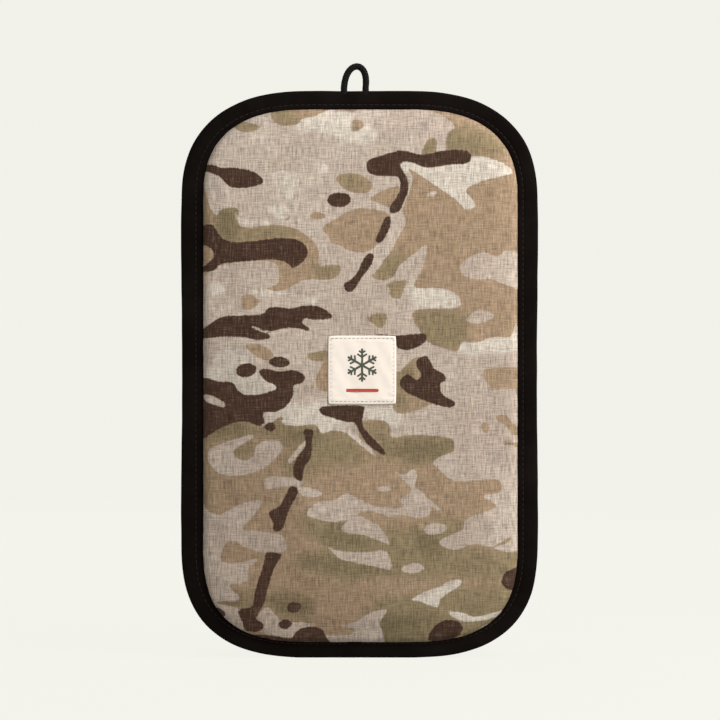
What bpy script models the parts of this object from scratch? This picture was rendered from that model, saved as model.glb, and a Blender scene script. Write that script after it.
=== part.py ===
"""Insulated cooler bag: a padded front panel that zips onto a foam-lined box and hinges at the bottom seam.

Metres, +Z up, front towards -Y. The origin is on the ground under the middle of the bag.
"""

import math

import bmesh
import bpy
from mathutils import Matrix, Vector

# ---- driving dimensions ------------------------------------------------------------------------
BAG_W = 0.248
BAG_H = 0.396
BAG_D = 0.074  # between the inner faces of the two bound edges

# Rounded corners: (radius along X, radius along Z, power of the curve)
CORNER_TOP = (0.089, 0.075, 2.40)
CORNER_BOTTOM = (0.092, 0.078, 2.60)
ARC_STEPS = 10
END_STEP = 0.0010  # a short first run squares the end of an open strip to the outline

GAP = 0.0003  # clearance between pieces that touch
CLOTH_T = 0.0007
LINER_T = 0.0005

# Binding tape folded over the edge of each panel
BINDING_T = 0.0044
BINDING_LEG_T = 0.0008
BINDING_FRONT_W = 0.0126
BINDING_REAR_W = 0.0107
BINDING_EDGE_R = 0.0006

# Padded panels
SKIN_INSET = 0.0011
LINER_H = 0.0011
SKIN_H = 0.0033
FRONT_CROWN = 0.0087  # rise of the front panel's flat middle above its bound edge
# Levels of the padded rise: (inset from the binding, share of the crown)
DOME_RISES = ((0.0001, 0.27), (0.0013, 0.61), (0.0036, 0.79), (0.0080, 0.92), (0.0180, 0.98), (0.0330, 1.00))

# Label on the front panel: its middle is at (LABEL_X, LABEL_Z)
LABEL_W = 0.0476
LABEL_H = 0.0480
LABEL_T = 0.0008
LABEL_X = 0.0018
LABEL_Z = 0.2010
LABEL_EDGE_R = 0.0003
BACK_CROWN = FRONT_CROWN + GAP + LABEL_T  # the back is as deep as the front with its label

# Zip: both tapes lie at one inset from the outline, with the coils on their outer side
TAPE_INSET = 0.0110
TAPE_W = 0.0160
ZIP_Y = -BAG_D / 2 + 0.0160
CHAIN_SPLIT = 0.0002  # from the zip's middle to each chain
COIL_W = 0.0031
COIL_T = 0.0022
COIL_SHOULDER = 0.35  # bevel of the coil's outer edges, as a share of its height
ZIP_END_X = 0.0620
STOP_EDGE_R = 0.0004

# Tabs sewn over the seams where the zip ends
TAB_L = 0.0130
TAB_W = 0.0180
TAB_IN = 0.0085  # from the seam to the tab's middle
TAB_BACK = 0.0062  # from the zip's middle to the tab's middle
TAB_EDGE_R = 0.0002

# Gusset and bottom
GUSSET_INSET = 0.0100
BOTTOM_INSET = 0.0113
SEAM_X = 0.0580  # half length of the bottom piece, which has no zip
FOAM_INSET = 0.0123
FOAM_T = 0.0047
GUSSET_CLOTH_FRONT = ZIP_Y + 0.0110
GUSSET_FOAM_FRONT = ZIP_Y + 0.0044
HINGE_STRIP_W = 0.0060
HINGE_STRIP_FRONT = -BAG_D / 2 + 0.0004
HINGE_Z = TAPE_INSET

# Sliders and pulls
SLIDER_X = 0.0090
SLIDER_L = 0.0150
SLIDER_W = 0.0096
SLIDER_PLATE_T = 0.0012
SLIDER_LIFT = 0.0005
SLIDER_TAPER = 0.78  # width of the slider's tail against its nose
LIP_T = 0.0010
LIP_SHARE = 0.8  # length of the lip against the plate
LIP_CLEAR = 0.0004
OVERLAP = 0.0002  # how far joined metal runs into its neighbour
METAL_EDGE_R = 0.0002
BRIDGE_L = 0.0100
BRIDGE_W = 0.0016
BRIDGE_BAR = 0.0010
BRIDGE_LEG = 0.0011
BRIDGE_CLEAR = 0.0016
BRIDGE_EDGE = 0.0008
PULL_PIVOT_X = 0.0029  # from the slider's middle
PULL_T = 0.0010
PULL_L = 0.0220
PULL_W = 0.0050
PULL_EDGE = 0.0006
PULL_BAR = 0.00045  # half the bar that turns in the bridge
PULL_EYE_END = 0.0039
PULL_EYE_HALF_W = 0.0012
PULL_NECK_START = 0.0052
PULL_NECK_END = 0.0080
PULL_NECK = 0.8  # width past the neck against the head
GRIP_START = 0.0145
GRIP_L = 0.0195
GRIP_W = 0.0076
GRIP_T = 0.0034
GRIP_EDGE_R = 0.0011
GRIP_BACK = 0.0010  # the slot runs this far past the grip's mouth

# Hang loop
CORD_R = 0.0021
LOOP_X = -0.0034
LOOP_HALF_W = 0.0077
LOOP_TOP = 0.4133  # centre line
LOOP_LEAN = 0.0014  # the crown stands a little right of the middle
LOOP_BASE = BAG_H + CORD_R + GAP
LOOP_Y = -(BAG_D + BINDING_T) / 2
LOOP_STEPS = 14
LOOP_POWER = 0.8  # under 1 fills out the arch's shoulders
# Rings of each foot: (depth, radius) as shares of the cord's radius
LOOP_FEET = ((0.92, 0.35), (0.55, 0.8))

# Looks: (colour, roughness, metallic)
CAMO = ((0.40, 0.31, 0.22), 0.85, 0.0)
FOAM = ((0.62, 0.62, 0.60), 0.9, 0.0)
FOIL = ((0.62, 0.63, 0.65), 0.35, 0.6)
TAPE = ((0.010, 0.008, 0.007), 0.6, 0.0)
COIL = ((0.012, 0.012, 0.012), 0.35, 0.0)
CORD = ((0.016, 0.015, 0.015), 0.7, 0.0)
LABEL = ((0.90, 0.82, 0.74), 0.7, 0.0)
STEEL = ((0.30, 0.30, 0.31), 0.35, 1.0)
BLACK_METAL = ((0.030, 0.030, 0.032), 0.35, 0.9)
RUBBER = ((0.015, 0.015, 0.015), 0.6, 0.0)

QUARTER = math.pi / 2
FRONT = -1
BACK = 1
SIDE_NAME = {FRONT: "front", BACK: "back"}


# ---- scene -------------------------------------------------------------------------------------
def clear_scene():
    for obj in list(bpy.data.objects):
        bpy.data.objects.remove(obj, do_unlink=True)


def new_collection(name):
    collection = bpy.data.collections.new(name)
    bpy.context.scene.collection.children.link(collection)
    return collection


def material(name, color, roughness, metallic=0.0):
    mat = bpy.data.materials.new(name)
    mat.use_nodes = True
    shader = mat.node_tree.nodes["Principled BSDF"]
    shader.inputs["Base Color"].default_value = (*color, 1.0)
    shader.inputs["Roughness"].default_value = roughness
    shader.inputs["Metallic"].default_value = metallic
    return mat


def add_part(name, mesh, look):
    """Links a mesh into the bag as one named object; look is (colour, roughness, metallic)."""
    mesh.name = name
    obj = bpy.data.objects.new(name, mesh)
    obj.data.materials.append(material(name, *look))
    bag.objects.link(obj)
    return obj


def mesh_from_bmesh(bm):
    bmesh.ops.recalc_face_normals(bm, faces=bm.faces)
    mesh = bpy.data.meshes.new("solid")
    bm.to_mesh(mesh)
    bm.free()
    return mesh


def mesh_from_curve(obj):
    """The closed mesh of a curve object, with its caps welded on; the curve is removed."""
    bpy.context.view_layer.update()
    evaluated = obj.evaluated_get(bpy.context.evaluated_depsgraph_get())
    mesh = bpy.data.meshes.new_from_object(evaluated)
    bm = bmesh.new()
    bm.from_mesh(mesh)
    bmesh.ops.remove_doubles(bm, verts=bm.verts, dist=0.000002)
    bpy.data.objects.remove(obj, do_unlink=True)
    return mesh_from_bmesh(bm)


def flat_curve(name, outlines, cyclic=True):
    """A curve object in the XY plane with one straight-edged spline for each list of (x, y) points."""
    curve = bpy.data.curves.new(name, "CURVE")
    curve.dimensions = "2D"
    for points in outlines:
        spline = curve.splines.new("POLY")
        spline.points.add(len(points) - 1)
        for target, (x, y) in zip(spline.points, points):
            target.co = (x, y, 0, 1)
        spline.use_cyclic_u = cyclic
    obj = bpy.data.objects.new(name, curve)
    guides.objects.link(obj)
    return obj


def plate(outlines, thickness):
    """Mesh of a flat plate about the XY plane; the second and later outlines are holes."""
    obj = flat_curve("plate", outlines)
    obj.data.fill_mode = "BOTH"
    obj.data.extrude = thickness / 2
    return mesh_from_curve(obj)


def box(size, centre):
    """Mesh of a box with its size applied."""
    bm = bmesh.new()
    bmesh.ops.create_cube(bm, size=1.0)
    bmesh.ops.scale(bm, vec=size, verts=bm.verts)
    bmesh.ops.translate(bm, vec=centre, verts=bm.verts)
    return mesh_from_bmesh(bm)


def bevel(obj, width, segments=2, angle=math.radians(40)):
    modifier = obj.modifiers.new("Rounded edges", "BEVEL")
    modifier.width = width
    modifier.segments = segments
    modifier.limit_method = "ANGLE"
    modifier.angle_limit = angle
    return obj


def boolean(obj, mesh, operation):
    """Joins a mesh to an object or cuts it away, both given in the object's own space."""
    cutter = bpy.data.objects.new(obj.name + "_" + operation.lower(), mesh)
    cutter.parent = obj
    cutter.hide_render = True
    cutter.display_type = "WIRE"
    guides.objects.link(cutter)
    modifier = obj.modifiers.new(operation.title(), "BOOLEAN")
    modifier.operation = operation
    modifier.object = cutter
    return obj


def joint_empty(name, point):
    """An empty on a joint's axis, which the moving pieces hang from."""
    empty = bpy.data.objects.new(name, None)
    empty.location = point
    guides.objects.link(empty)
    return empty


def hang_from(parent, pieces):
    bpy.context.view_layer.update()
    for piece in pieces:
        piece.parent = parent
        piece.matrix_parent_inverse = parent.matrix_world.inverted()


# ---- outline -----------------------------------------------------------------------------------
def corner_point(side_x, side_z, angle):
    """A point on a rounded corner and its inward normal; angle 0 is on the side, pi/2 at the middle."""
    radius_x, radius_z, power = CORNER_TOP if side_z > 0 else CORNER_BOTTOM
    c = max(math.cos(angle), 0.0)
    s = max(math.sin(angle), 0.0)
    x = BAG_W / 2 - radius_x + radius_x * c ** (2 / power)
    z = BAG_H / 2 - radius_z + radius_z * s ** (2 / power)
    normal = Vector((c ** (2 - 2 / power) / radius_x, s ** (2 - 2 / power) / radius_z)).normalized()
    return Vector((side_x * x, BAG_H / 2 + side_z * z)), Vector((-side_x * normal.x, -side_z * normal.y))


def corner(side_x, side_z, start, end):
    steps = max(2, round(ARC_STEPS * abs(end - start) / QUARTER))
    return [corner_point(side_x, side_z, start + (end - start) * i / steps) for i in range(steps + 1)]


def bottom_angle(x):
    """Angle at which a bottom corner reaches the half width x."""
    radius_x, _, power = CORNER_BOTTOM
    reach = (x - (BAG_W / 2 - radius_x)) / radius_x
    return math.acos(reach ** (power / 2))


def closed_path():
    """The whole outline, anticlockwise as seen from the front."""
    right = corner(1, -1, QUARTER, 0) + corner(1, 1, 0, QUARTER)
    left = corner(-1, 1, QUARTER, 0) + corner(-1, -1, 0, QUARTER)
    return right + left


def zip_path(x_end):
    """Up round the bag from the bottom right to the bottom left, missing out the middle of the bottom."""
    end = bottom_angle(x_end)
    near = bottom_angle(x_end + END_STEP)
    right = [corner_point(1, -1, end)] + corner(1, -1, near, 0) + corner(1, 1, 0, QUARTER)
    left = corner(-1, 1, QUARTER, 0) + corner(-1, -1, 0, near) + [corner_point(-1, -1, end)]
    return right + left


def bottom_path(x_end):
    """The middle of the bottom, from left to right."""
    end = bottom_angle(x_end)
    near = bottom_angle(x_end - END_STEP)
    left = [corner_point(-1, -1, end)] + corner(-1, -1, near, QUARTER)
    right = corner(1, -1, QUARTER, near) + [corner_point(1, -1, end)]
    return left + right


# ---- solids that follow the outline ------------------------------------------------------------
def sweep(name, path, section, look, closed=True):
    """Carries a section of (inset, y) points along the outline."""
    profile = flat_curve(name + "_section", [[(inset, -y) for inset, y in section]])
    points = [point for point, _ in path]
    if not closed:
        points.reverse()  # an open rail carries its section on the other side of its line
    rail = flat_curve(name + "_rail", [points], cyclic=closed)
    rail.data.bevel_mode = "OBJECT"
    rail.data.bevel_object = profile
    rail.data.use_fill_caps = not closed
    obj = add_part(name, mesh_from_curve(rail), look)
    bpy.data.objects.remove(profile, do_unlink=True)
    obj.rotation_euler = (QUARTER, 0, 0)
    return obj


def rectangle(inset, thickness, y_low, y_high):
    return [(inset, y_low), (inset, y_high), (inset + thickness, y_high), (inset + thickness, y_low)]


def stack(levels, base):
    """Mesh of an outline raised and drawn in from level to level of (inset, height)."""
    bm = bmesh.new()
    first_inset, first_height = levels[0]
    points = [point + inward * first_inset for point, inward in closed_path()]
    face = bm.faces.new([bm.verts.new((point.x, point.y, first_height)) for point in points])
    foot = face
    if base:
        extruded = bmesh.ops.extrude_face_region(bm, geom=[face])["geom"]
        face = next(item for item in extruded if isinstance(item, bmesh.types.BMFace))
        bmesh.ops.translate(bm, vec=(0, 0, levels[1][1] - first_height), verts=face.verts)
        levels = levels[1:]
    face.normal_update()
    if face.normal.z < 0:
        face.normal_flip()
    for (inset, height), (next_inset, next_height) in zip(levels, levels[1:]):
        bmesh.ops.inset_region(bm, faces=[face], thickness=next_inset - inset, depth=next_height - height,
                               use_even_offset=True, use_boundary=True)
    return mesh_from_bmesh(bm)


def place_panel(obj, side):
    """Stands a panel piece on its edge plane; its local +Z points away from the bag's middle."""
    obj.location = (0, side * BAG_D / 2, 0)
    obj.rotation_euler = (QUARTER, 0, 0 if side == FRONT else math.pi)
    return obj


def dome(crown):
    """Levels of a padded panel: a near upright side that rounds over to a flat middle."""
    edge = BINDING_FRONT_W + GAP
    return [(edge + inset, SKIN_H + crown * rise) for inset, rise in DOME_RISES]


# ---- padded panels -----------------------------------------------------------------------------
def make_skin(side, crown):
    levels = [(SKIN_INSET, SKIN_H), (BINDING_FRONT_W + GAP, SKIN_H)] + dome(crown)
    obj = add_part(SIDE_NAME[side] + "_panel_cloth", stack(levels, base=False), CAMO)
    shell = obj.modifiers.new("Cloth", "SOLIDIFY")
    shell.thickness = CLOTH_T
    shell.offset = -1
    shell.use_even_offset = True
    return place_panel(obj, side)


def make_foam(side, crown):
    below = CLOTH_T + GAP
    raised = [(inset + below, height - below) for inset, height in dome(crown)]
    levels = [(raised[0][0], LINER_H + LINER_T + GAP)] + raised
    obj = add_part(SIDE_NAME[side] + "_foam", stack(levels, base=True), FOAM)
    return place_panel(obj, side)


def make_liner(side):
    levels = [(SKIN_INSET, LINER_H), (SKIN_INSET, LINER_H + LINER_T)]
    return place_panel(add_part(SIDE_NAME[side] + "_liner", stack(levels, base=True), FOIL), side)


def make_binding(side):
    """Tape folded over the panel's edge: a wide leg outside, a narrow leg inside and a rounded fold."""
    top = BINDING_T
    leg = BINDING_LEG_T
    heights = [
        (BINDING_REAR_W, 0),
        (BINDING_EDGE_R, 0),
        (0, BINDING_EDGE_R),
        (0, top - BINDING_EDGE_R),
        (BINDING_EDGE_R, top),
        (BINDING_FRONT_W, top),
        (BINDING_FRONT_W, top - leg),
        (leg, top - leg),
        (leg, leg),
        (BINDING_REAR_W, leg),
    ]
    section = [(inset, side * (BAG_D / 2 + height)) for inset, height in heights]
    return sweep(SIDE_NAME[side] + "_binding", closed_path(), section, TAPE)


def make_label():
    height = SKIN_H + FRONT_CROWN + GAP + LABEL_T / 2
    obj = add_part("label", box((LABEL_W, LABEL_H, LABEL_T), (LABEL_X, LABEL_Z, height)), LABEL)
    bevel(obj, LABEL_EDGE_R, segments=1)
    return place_panel(obj, FRONT)


# ---- gusset, bottom and zip --------------------------------------------------------------------
def liner_section(y_front):
    """Lining behind the foam, turned over the foam's front edge."""
    inner = FOAM_INSET + FOAM_T + GAP
    y_back = BAG_D / 2 + LINER_H - GAP
    return [
        (FOAM_INSET, y_front),
        (inner + LINER_T, y_front),
        (inner + LINER_T, y_back),
        (inner, y_back),
        (inner, y_front + LINER_T),
        (FOAM_INSET, y_front + LINER_T),
    ]


def make_gusset():
    y_back = BAG_D / 2 - GAP
    foam_back = BAG_D / 2 + LINER_H - GAP
    around = zip_path(SEAM_X + GAP / 2)
    cloth = rectangle(GUSSET_INSET, CLOTH_T, GUSSET_CLOTH_FRONT, y_back)
    sweep("gusset_cloth", around, cloth, CAMO, closed=False)
    foam = rectangle(FOAM_INSET, FOAM_T, GUSSET_FOAM_FRONT, foam_back)
    sweep("gusset_foam", around, foam, FOAM, closed=False)
    liner = liner_section(GUSSET_FOAM_FRONT - GAP - LINER_T)
    sweep("gusset_liner", around, liner, FOIL, closed=False)


def make_bottom():
    y_front = HINGE_STRIP_FRONT
    strip_end = y_front + HINGE_STRIP_W
    foam_back = BAG_D / 2 + LINER_H - GAP
    middle = bottom_path(SEAM_X - GAP / 2)
    cloth = rectangle(BOTTOM_INSET, CLOTH_T, strip_end + GAP, BAG_D / 2 - GAP)
    sweep("bottom_cloth", middle, cloth, CAMO, closed=False)
    strip = rectangle(BOTTOM_INSET, CLOTH_T, y_front, strip_end)
    sweep("hinge_strip", middle, strip, TAPE, closed=False)
    foam = rectangle(FOAM_INSET, FOAM_T, y_front + LINER_T + GAP, foam_back)
    sweep("bottom_foam", middle, foam, FOAM, closed=False)
    sweep("bottom_liner", middle, liner_section(y_front), FOIL, closed=False)


def make_zip_half(side):
    """One tape and its chain, on the panel's side (FRONT) or the gusset's side (BACK) of the zip's middle."""
    name = "front" if side == FRONT else "rear"
    inner = ZIP_Y + side * CHAIN_SPLIT
    outer = -BAG_D / 2 - LINER_H + GAP if side == FRONT else ZIP_Y + TAPE_W
    tape = rectangle(TAPE_INSET, CLOTH_T, outer, inner)
    tape_obj = sweep(name + "_zip_tape", zip_path(SEAM_X + GAP / 2), tape, TAPE, closed=False)
    base = TAPE_INSET - GAP
    shoulder = COIL_T * COIL_SHOULDER
    far = inner + side * COIL_W
    coil = [
        (base, inner),
        (base - COIL_T + shoulder, inner),
        (base - COIL_T, inner + side * shoulder),
        (base - COIL_T, far - side * shoulder),
        (base - COIL_T + shoulder, far),
        (base, far),
    ]
    coil_obj = sweep(name + "_zip_coil", zip_path(ZIP_END_X), coil, COIL, closed=False)
    return [tape_obj, coil_obj]


def bottom_seat(x, inset):
    """Place and tilt of the surface at the given inset, where the bottom outline has half width x."""
    point, inward = corner_point(1, -1, bottom_angle(x))
    return point + inward * inset, math.atan2(-inward.x, inward.y)


def make_zip_ends(side_x):
    """The metal stop at the end of the rear chain and the cloth tab sewn over the seam beside it."""
    name = "left" if side_x < 0 else "right"
    point, tilt = bottom_seat((SEAM_X + ZIP_END_X) / 2, TAPE_INSET - GAP - COIL_T / 2)
    size = (ZIP_END_X - SEAM_X - 3 * GAP, COIL_W, COIL_T)
    stop = add_part("zip_stop_" + name, box(size, (0, 0, 0)), STEEL)
    stop.location = (side_x * point.x, ZIP_Y + CHAIN_SPLIT + COIL_W / 2, point.y)
    stop.rotation_euler = (0, -side_x * tilt, 0)
    bevel(stop, STOP_EDGE_R)
    point, tilt = bottom_seat(SEAM_X - TAB_IN, BOTTOM_INSET - GAP - CLOTH_T / 2)
    tab = add_part("zip_tab_" + name, box((TAB_L, TAB_W, CLOTH_T), (0, 0, 0)), TAPE)
    tab.location = (side_x * point.x, ZIP_Y + TAB_BACK, point.y)
    tab.rotation_euler = (0, -side_x * tilt, 0)
    bevel(tab, TAB_EDGE_R, segments=1)


# ---- sliders and pulls -------------------------------------------------------------------------
def make_slider(side_x):
    """Top plate over both chains, a lip down behind the rear chain, and the bridge that holds the pull."""
    name = "left" if side_x < 0 else "right"
    plate_box = box((SLIDER_L, SLIDER_W, SLIDER_PLATE_T), (0, 0, 0))
    obj = add_part("slider_" + name, plate_box, BLACK_METAL)
    tail = [vert for vert in obj.data.vertices if vert.co.x * side_x > 0]
    for vert in tail:
        vert.co.y *= SLIDER_TAPER
    plate_top = SLIDER_PLATE_T / 2
    lip_h = COIL_T + SLIDER_LIFT - LIP_CLEAR
    lip_y = COIL_W + CHAIN_SPLIT + GAP + LIP_T / 2
    lip_z = -plate_top - lip_h / 2 + OVERLAP / 2
    lip = box((SLIDER_L * LIP_SHARE, LIP_T, lip_h + OVERLAP), (0, lip_y, lip_z))
    boolean(obj, lip, "UNION")
    half = BRIDGE_L / 2
    leg = BRIDGE_LEG
    top = BRIDGE_CLEAR + BRIDGE_BAR
    sunk = -OVERLAP
    edge = BRIDGE_EDGE
    arch = [
        (-half, sunk),
        (half, sunk),
        (half, top - edge),
        (half - edge, top),
        (-half + edge, top),
        (-half, top - edge),
    ]
    window = [
        (-half + leg, sunk),
        (half - leg, sunk),
        (half - leg, BRIDGE_CLEAR),
        (-half + leg, BRIDGE_CLEAR),
    ]
    bridge = plate([arch_outline(arch, window)], BRIDGE_W)
    bridge.transform(Matrix.Translation((0, 0, plate_top)) @ Matrix.Rotation(QUARTER, 4, "X"))
    boolean(obj, bridge, "UNION")
    bevel(obj, METAL_EDGE_R, segments=1, angle=math.radians(60))
    obj.location = (side_x * SLIDER_X, ZIP_Y, plate_bottom_z() + SLIDER_PLATE_T / 2)
    return obj


def arch_outline(arch, window):
    """One outline from an arch and the window that is open at its foot."""
    left_foot, right_foot = arch[0], arch[1]
    over = arch[1:] + [left_foot]
    under = [window[0], window[3], window[2], window[1]]
    return over + under


def plate_bottom_z():
    return BAG_H - (TAPE_INSET - GAP - COIL_T) + SLIDER_LIFT


def pull_pivot(side_x):
    x = side_x * (SLIDER_X + PULL_PIVOT_X)
    return Vector((x, ZIP_Y, plate_bottom_z() + SLIDER_PLATE_T + BRIDGE_CLEAR / 2))


def make_pull(side_x):
    """Flat pull plate with an eye round the bridge, lying outwards along the zip."""
    name = "left" if side_x < 0 else "right"
    half = PULL_W / 2
    neck = half * PULL_NECK
    bar = PULL_BAR
    eye_half = PULL_EYE_HALF_W
    outer = [
        (-bar, -half + PULL_EDGE),
        (-bar, half - PULL_EDGE),
        (bar, half),
        (PULL_NECK_START, half),
        (PULL_NECK_END, neck),
        (PULL_L, neck),
        (PULL_L, -neck),
        (PULL_NECK_END, -neck),
        (PULL_NECK_START, -half),
        (bar, -half),
    ]
    eye = [(bar, -eye_half), (PULL_EYE_END, -eye_half), (PULL_EYE_END, eye_half), (bar, eye_half)]
    mesh = plate([[(side_x * x, y) for x, y in line] for line in (outer, eye)], PULL_T)
    pull = add_part("pull_" + name, mesh, BLACK_METAL)
    pull.location = pull_pivot(side_x)
    return pull


def make_grip(side_x):
    """Moulded grip over the end of the pull plate."""
    name = "left" if side_x < 0 else "right"
    centre = side_x * (GRIP_START + GRIP_L / 2)
    grip = add_part("pull_grip_" + name, box((GRIP_L, GRIP_W, GRIP_T), (centre, 0, 0)), RUBBER)
    bevel(grip, GRIP_EDGE_R, segments=2)
    slot_l = PULL_L - GRIP_START + GAP + GRIP_BACK
    slot = (slot_l, PULL_W * PULL_NECK + 2 * GAP, PULL_T + 2 * GAP)
    boolean(grip, box(slot, (side_x * (PULL_L + GAP - slot_l / 2), 0, 0)), "DIFFERENCE")
    grip.location = pull_pivot(side_x)
    return grip


# ---- hang loop ---------------------------------------------------------------------------------
def make_hang_loop():
    """A cord arch, a little pointed, whose round feet bend on the top edge of the front binding."""
    curve = bpy.data.curves.new("hang_loop", "CURVE")
    curve.dimensions = "3D"
    curve.bevel_depth = CORD_R
    curve.bevel_resolution = 2
    curve.use_fill_caps = True
    rise = LOOP_TOP - LOOP_BASE
    foot = [(-CORD_R * depth, radius) for depth, radius in LOOP_FEET]
    line = [(-1.0, up, radius) for up, radius in foot]
    for i in range(LOOP_STEPS + 1):
        angle = math.pi * i / LOOP_STEPS
        line.append((-math.cos(angle), rise * math.sin(angle) ** LOOP_POWER, 1.0))
    line += [(1.0, up, radius) for up, radius in reversed(foot)]
    spline = curve.splines.new("POLY")
    spline.points.add(len(line) - 1)
    for point, (across, up, radius) in zip(spline.points, line):
        lean = LOOP_LEAN * max(up, 0) / rise
        point.co = (LOOP_X + LOOP_HALF_W * across + lean, 0, LOOP_BASE + up, 1)
        point.radius = radius
    obj = bpy.data.objects.new("hang_loop_cord", curve)
    guides.objects.link(obj)
    loop = add_part("hang_loop", mesh_from_curve(obj), CORD)
    loop.location = (0, LOOP_Y, 0)
    loop.data.shade_smooth()
    return loop


# ---- the bag -----------------------------------------------------------------------------------
clear_scene()
bag = new_collection("Insulated cooler bag")
guides = new_collection("Guides")

front = [make_skin(FRONT, FRONT_CROWN), make_foam(FRONT, FRONT_CROWN), make_liner(FRONT)]
front += [make_binding(FRONT), make_label()]
front += make_zip_half(FRONT)
make_skin(BACK, BACK_CROWN)
make_foam(BACK, BACK_CROWN)
make_liner(BACK)
make_binding(BACK)
make_gusset()
make_bottom()
make_zip_half(BACK)
hang_loop = make_hang_loop()

door_hinge = joint_empty("front_panel_hinge", (0, -BAG_D / 2, HINGE_Z))
hang_from(door_hinge, front)
loop_hinge = joint_empty("hang_loop_hinge", (LOOP_X, LOOP_Y, LOOP_BASE))
hang_from(loop_hinge, [hang_loop])
hang_from(door_hinge, [loop_hinge])

for side_x in (-1, 1):
    make_zip_ends(side_x)
    slider = make_slider(side_x)
    hang_from(slider, [make_pull(side_x), make_grip(side_x)])
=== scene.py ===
"""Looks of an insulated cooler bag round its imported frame: cloth, tape, zip, lining, label and cord."""

import math

import bmesh
import bpy
import numpy as np
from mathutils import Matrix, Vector
from mathutils.bvhtree import BVHTree
from mathutils.geometry import delaunay_2d_cdt


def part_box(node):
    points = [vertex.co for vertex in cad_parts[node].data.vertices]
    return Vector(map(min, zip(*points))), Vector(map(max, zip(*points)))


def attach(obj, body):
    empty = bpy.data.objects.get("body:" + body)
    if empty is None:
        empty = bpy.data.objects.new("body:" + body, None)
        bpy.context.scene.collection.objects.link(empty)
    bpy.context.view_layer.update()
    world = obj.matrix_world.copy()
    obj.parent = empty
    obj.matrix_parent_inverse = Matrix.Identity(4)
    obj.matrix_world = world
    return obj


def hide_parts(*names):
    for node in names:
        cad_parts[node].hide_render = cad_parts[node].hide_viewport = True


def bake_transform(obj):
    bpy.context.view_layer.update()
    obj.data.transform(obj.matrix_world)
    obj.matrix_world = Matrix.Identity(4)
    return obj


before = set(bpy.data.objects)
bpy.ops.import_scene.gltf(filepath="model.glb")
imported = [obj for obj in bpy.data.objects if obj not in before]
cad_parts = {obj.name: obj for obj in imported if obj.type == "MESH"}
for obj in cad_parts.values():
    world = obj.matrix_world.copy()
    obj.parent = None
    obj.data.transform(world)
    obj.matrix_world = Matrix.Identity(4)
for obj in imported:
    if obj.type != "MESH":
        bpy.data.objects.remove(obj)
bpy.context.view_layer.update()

# ---- sizes, from the frame where it has them -------------------------------------------
MM = 0.001
BIND_LOW, BIND_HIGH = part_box("front_binding")
HALF_W = BIND_HIGH.x
BAG_H = BIND_HIGH.z
EDGE_Y = -BIND_HIGH.y  # distance from the middle to the inner face of each bound edge
BIND_T = BIND_HIGH.y - BIND_LOW.y
PANEL_Y = -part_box("front_panel_cloth")[0].y  # the front panel's flat middle
BACK_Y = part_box("back_panel_cloth")[1].y
LABEL_LOW, LABEL_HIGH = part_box("label")

# Rounded corners: (radius along X, radius along Z, power of the curve)
CORNER_TOP = (0.089, 0.075, 2.40)
CORNER_BOTTOM = (0.092, 0.078, 2.60)

# Insets are measured from the bag's outline
BIND_W = 12.6 * MM
BIND_REAR_W = 10.7 * MM
STITCH_INSET = 9.7 * MM
REAR_STITCH_INSET = 9.2 * MM
TAPE_INSET = 11.0 * MM
GUSSET_INSET = 10.0 * MM
BOTTOM_INSET = 11.3 * MM
LINING_INSET = 17.8 * MM

SEAM_X = 58.0 * MM  # half width on the bottom at which the gusset, tapes and hinge end
SEAM_GAP = 0.15 * MM
SEAM_STITCH_GAP = 0.6 * MM
ZIP_END_X = 62.0 * MM

TAPE_T = 0.7 * MM
BRAID_PITCH = 1.9 * MM
BRAID_STRANDS = 4
BACK_SPREAD = 0.3  # the back binding's spread as a share of the front's

QUARTER = math.pi / 2
FRONT, BACK = -1, 1  # sides of the bag along Y
BODY = {FRONT: "door", BACK: "box"}
PANEL_NAME = {FRONT: "front", BACK: "back"}
ZIP_NAME = {FRONT: "front", BACK: "rear"}

# Steps of the meshes
CORNER_STEPS = 90
BOTTOM_STEPS = 30
PANEL_STEP = 1.8 * MM
BINDING_STEP = 2.0 * MM
BAND_STEP = 2.6 * MM
STRIP_STEP = 3.0 * MM
TINY = 1e-9
MESH_TINY = 1e-7

# ---- outline ---------------------------------------------------------------------------


def corner(side_x, side_z, start, end, steps):
    """Points (x, z) and inward normals along a rounded corner; angle 0 is on the side."""
    radius_x, radius_z, power = CORNER_TOP if side_z > 0 else CORNER_BOTTOM
    angle = np.linspace(start, end, steps)
    c = np.clip(np.cos(angle), 0, 1)
    s = np.clip(np.sin(angle), 0, 1)
    x = HALF_W - radius_x + radius_x * c ** (2 / power)
    z = BAG_H / 2 - radius_z + radius_z * s ** (2 / power)
    nx = c ** (2 - 2 / power) / radius_x
    nz = s ** (2 - 2 / power) / radius_z
    length = np.hypot(nx, nz)
    points = np.stack([side_x * x, BAG_H / 2 + side_z * z], 1)
    return points, np.stack([-side_x * nx / length, -side_z * nz / length], 1)


def bottom_angle(x):
    """Angle at which a bottom corner reaches the half width x."""
    radius_x, _, power = CORNER_BOTTOM
    return math.acos(max(0.0, (x - (HALF_W - radius_x)) / radius_x) ** (power / 2))


def join(*runs):
    """One run of points and normals from several."""
    return np.concatenate([r[0] for r in runs]), np.concatenate([r[1] for r in runs])


def whole_path():
    """The whole outline from the middle of the bottom, anticlockwise as seen from the front."""
    middle = (np.array([[0.0, 0.0]]), np.array([[0.0, 1.0]]))
    return join(
        middle,
        corner(1, -1, QUARTER, 0, CORNER_STEPS),
        corner(1, 1, 0, QUARTER, CORNER_STEPS),
        corner(-1, 1, QUARTER, 0, CORNER_STEPS),
        corner(-1, -1, 0, QUARTER, CORNER_STEPS),
        middle,
    )


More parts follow.
